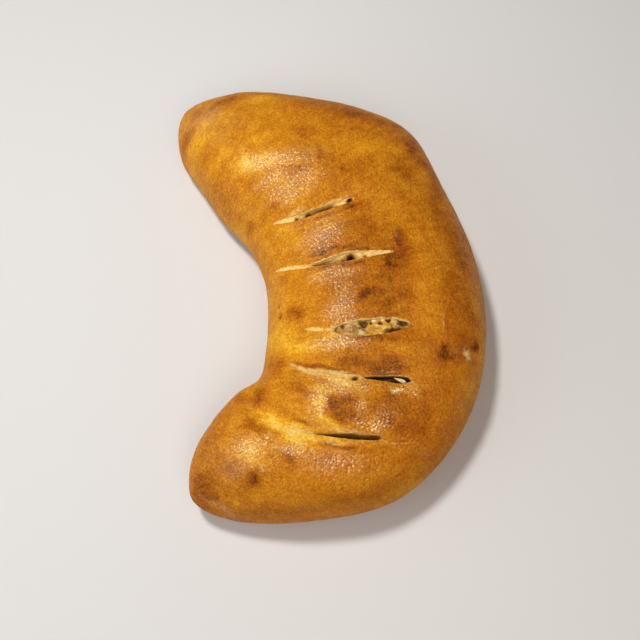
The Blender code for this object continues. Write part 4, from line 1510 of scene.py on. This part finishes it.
def shred_grid():
    """A flat, tapering drop, thin at its left end."""
    x, y, length, width, height = SHRED
    along = np.cos(np.linspace(pi, 0, SHRED_ROWS))[:, None]
    turn = np.linspace(0, 2 * pi, SHRED_COLUMNS, endpoint=False)[None, :]
    taper = 1 - SHRED_TAPER + SHRED_TAPER * along
    radius = np.sqrt(np.clip(1 - along ** 2, 0, 1)) * taper
    across = radius * np.cos(turn) * width
    up = radius * np.sin(turn) * height
    run = along * length + 0 * turn
    cos_turn, sin_turn = cos(SHRED_TURN), sin(SHRED_TURN)
    away = np.hypot(crust_grid[..., 0] - x, crust_grid[..., 1] - y)
    crest = crust_grid[..., 2][away < NEAR_SHRED].max()
    points = [
        x + run * cos_turn - across * sin_turn,
        y + run * sin_turn + across * cos_turn,
        crest - SHRED_SUNK + up - SHRED_SLOPE * (run + length),
    ]
    return np.stack(points, -1)


shred = shred_grid()
print("shred of dough:", shred.shape)

# %% [markdown]
# The core, the bed and the shred are made apart, but nobody can pick one of them out of the
# loaf. They are joined into one piece, which keeps its attributes, and one finish serves all.


# %% Filling mesh
def one_finish(points, **levels):
    """The same finish all over a piece."""
    return {label: level + 0 * points[..., 0] for label, level in levels.items()}


def join(things, name):
    """Joins all the things into the first one."""
    with bpy.context.temp_override(
        active_object=things[0], selected_objects=things, selected_editable_objects=things
    ):
        bpy.ops.object.join()
    things[0].name = name
    return things[0]


# What shows of the core takes painted shade.
core_finish = one_finish(core, dark=0.8, tone=0.3, curd=0, stain=0)
shred_finish = one_finish(shred, dark=0, tone=0.2, curd=0.55, stain=0)
filling_parts = [
    grid_mesh("filling_core", core, core_finish),
    grid_mesh("cheese_bed", bed_points, bed_finish),
    grid_mesh("dough_shred", shred, shred_finish),
]
filling = join(filling_parts, "filling_core")
print("filling faces:", len(filling.data.polygons))

# %% [markdown]
# Melted cheese is golden and a little glossy, and the moist filling beside it is greyer and
# browner. Each has a colour ramp on a fine noise. The tone attribute chooses between the two,
# and stains, curds and the painted shade of the hollows are laid over them in that order.

# %% Filling material
FILLING_SURFACE = {"Roughness": 0.42, "Specular IOR Level": 0.12}
CHEESE_COLOURS = ((0.0, (0.40, 0.16, 0.010)), (0.5, (0.62, 0.33, 0.03)), (1.0, (0.84, 0.58, 0.16)))
MOIST_COLOURS = ((0.0, (0.22, 0.10, 0.016)), (0.5, (0.45, 0.262, 0.070)), (1.0, (0.66, 0.46, 0.19)))
CHEESE_GRAIN, MOIST_GRAIN = (330, 3, 1.6), (420, 3, 2.4)
# Laid over them: the attribute and its colour. The last is painted shade, a dark brown.
OVERLAYS = (
    ("stain", (0.56, 0.20, 0.012)), ("curd", (0.92, 0.78, 0.46)), ("dark", (0.11, 0.040, 0.004)),
)
FILLING_BUMP_SCALE, FILLING_BUMP_HEIGHT = 900.0, 0.2 * MM


def grained_colours(tree, place, grain, stops):
    """The stops' colours in a grain of the given size."""
    level = calc(tree, "ADD", speckle(tree, place, *grain), 0.5, clamp=True)
    return colour_ramp(tree, level, stops)


def filling_material():
    """The filling's finish: two grained colours with stains, curds and painted shade over them."""
    material, tree, shader = new_finish("cheese_filling", FILLING_SURFACE)
    place = put(tree, "ShaderNodeTexCoord").outputs["Object"]
    cheese = grained_colours(tree, place, CHEESE_GRAIN, CHEESE_COLOURS)
    moist = grained_colours(tree, place, MOIST_GRAIN, MOIST_COLOURS)
    colour = mix_colour(tree, attribute(tree, "tone"), moist, cheese)
    for label, over in OVERLAYS:
        colour = mix_colour(tree, attribute(tree, label), colour, over)
    tree.links.new(colour, shader.inputs["Base Color"])
    bumps = texture_noise(tree, place, FILLING_BUMP_SCALE, 2.0)
    inputs = {"Height": bumps, "Strength": 1.0, "Distance": FILLING_BUMP_HEIGHT}
    bump = put(tree, "ShaderNodeBump", inputs).outputs[0]
    tree.links.new(bump, shader.inputs["Normal"])
    return material


filling.data.materials.append(filling_material())
print("filling finish:", filling.data.materials[0].name)

# %% [markdown]
# ## Light and floor
#
# A small lamp, high up behind and to the left, draws the shadows. A wide window stands on the
# left, a soft light in front, and two small lamps only glint in the glaze. A pale surround
# fills the shadows, as a white studio does. A picture of a real room could light it all at
# once, but five lamps can be moved one by one. The floor is plain, so that nothing competes
# with the crust.

# %% Studio
FLOOR_SURFACE = {"Base Color": (0.68, 0.68, 0.745, 1.0), "Roughness": 0.8}
FLOOR_SIZE = 6.0
SURROUND = {"Color": (1.0, 0.95, 0.88, 1.0), "Strength": 0.14}
SKY_WHITE = (0.92, 1.0, 0.99)
SOFT_WHITE = (1.0, 0.86, 0.71)
LAMP_WHITE = (0.99, 0.96, 0.83)
CANDLE_WHITE = (1.0, 0.85, 0.55)
# Lights: where each shines from, how far off it stands, its width, its power and its colour.
# The last two only glint in the glaze, as small lamps far off in a room do.
LIGHTS = {
    "overhead": (Vector((-0.22, 0.25, 0.93)), 1.0, 0.16, 6.8, LAMP_WHITE),
    "window": (Vector((-0.90, -0.20, 0.42)), 0.9, 0.9, 3.0, SKY_WHITE),
    "front": (Vector((0.10, -0.60, 0.79)), 1.1, 0.6, 2.8, SOFT_WHITE),
    "front_glint": (Vector((0.02, -0.59, 0.80)), 1.1, 0.08, 9.6, CANDLE_WHITE),
    "right_glint": (Vector((0.38, -0.25, 0.89)), 1.1, 0.08, 8.5, CANDLE_WHITE),
}


def add_floor():
    """A wide plane under the loaf, which is stage and not part of it."""
    bpy.ops.mesh.primitive_plane_add(size=FLOOR_SIZE)
    floor = bpy.context.object
    floor.name = "floor"
    floor.data.materials.append(new_finish("floor_paper", FLOOR_SURFACE)[0])


def add_light(name, towards, distance, width, power, colour):
    """A round light that shines at the loaf's middle. A glint lights nothing but gloss."""
    data = bpy.data.lights.new(name, "AREA")
    data.shape = "DISK"
    data.size = width
    data.energy = power
    data.color = colour
    light = bpy.data.objects.new(name, data)
    bpy.context.scene.collection.objects.link(light)
    light.location = LOOK_AT + towards.normalized() * distance
    light.rotation_euler = towards.to_track_quat("Z", "Y").to_euler()
    light.visible_diffuse = "glint" not in name


def add_surround():
    """A pale world all round, and colours shown as they are."""
    world = bpy.data.worlds.new("studio")
    world.use_nodes = True
    for socket, value in SURROUND.items():
        world.node_tree.nodes["Background"].inputs[socket].default_value = value
    bpy.context.scene.world = world
    bpy.context.scene.view_settings.view_transform = "Standard"


add_floor()
add_surround()
for name, setting in LIGHTS.items():
    add_light(name, *setting)
print("lights:", list(LIGHTS))

# %% [markdown]
# ## On to the frame
#
# The dressed pieces are still loose. Each one now rides on the root body, and the solid that it
# stands for is hidden.

# %% Riding on the frame
for piece, node in ((crust, "crust"), (filling, "filling")):
    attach(piece, "root")
    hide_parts(node)
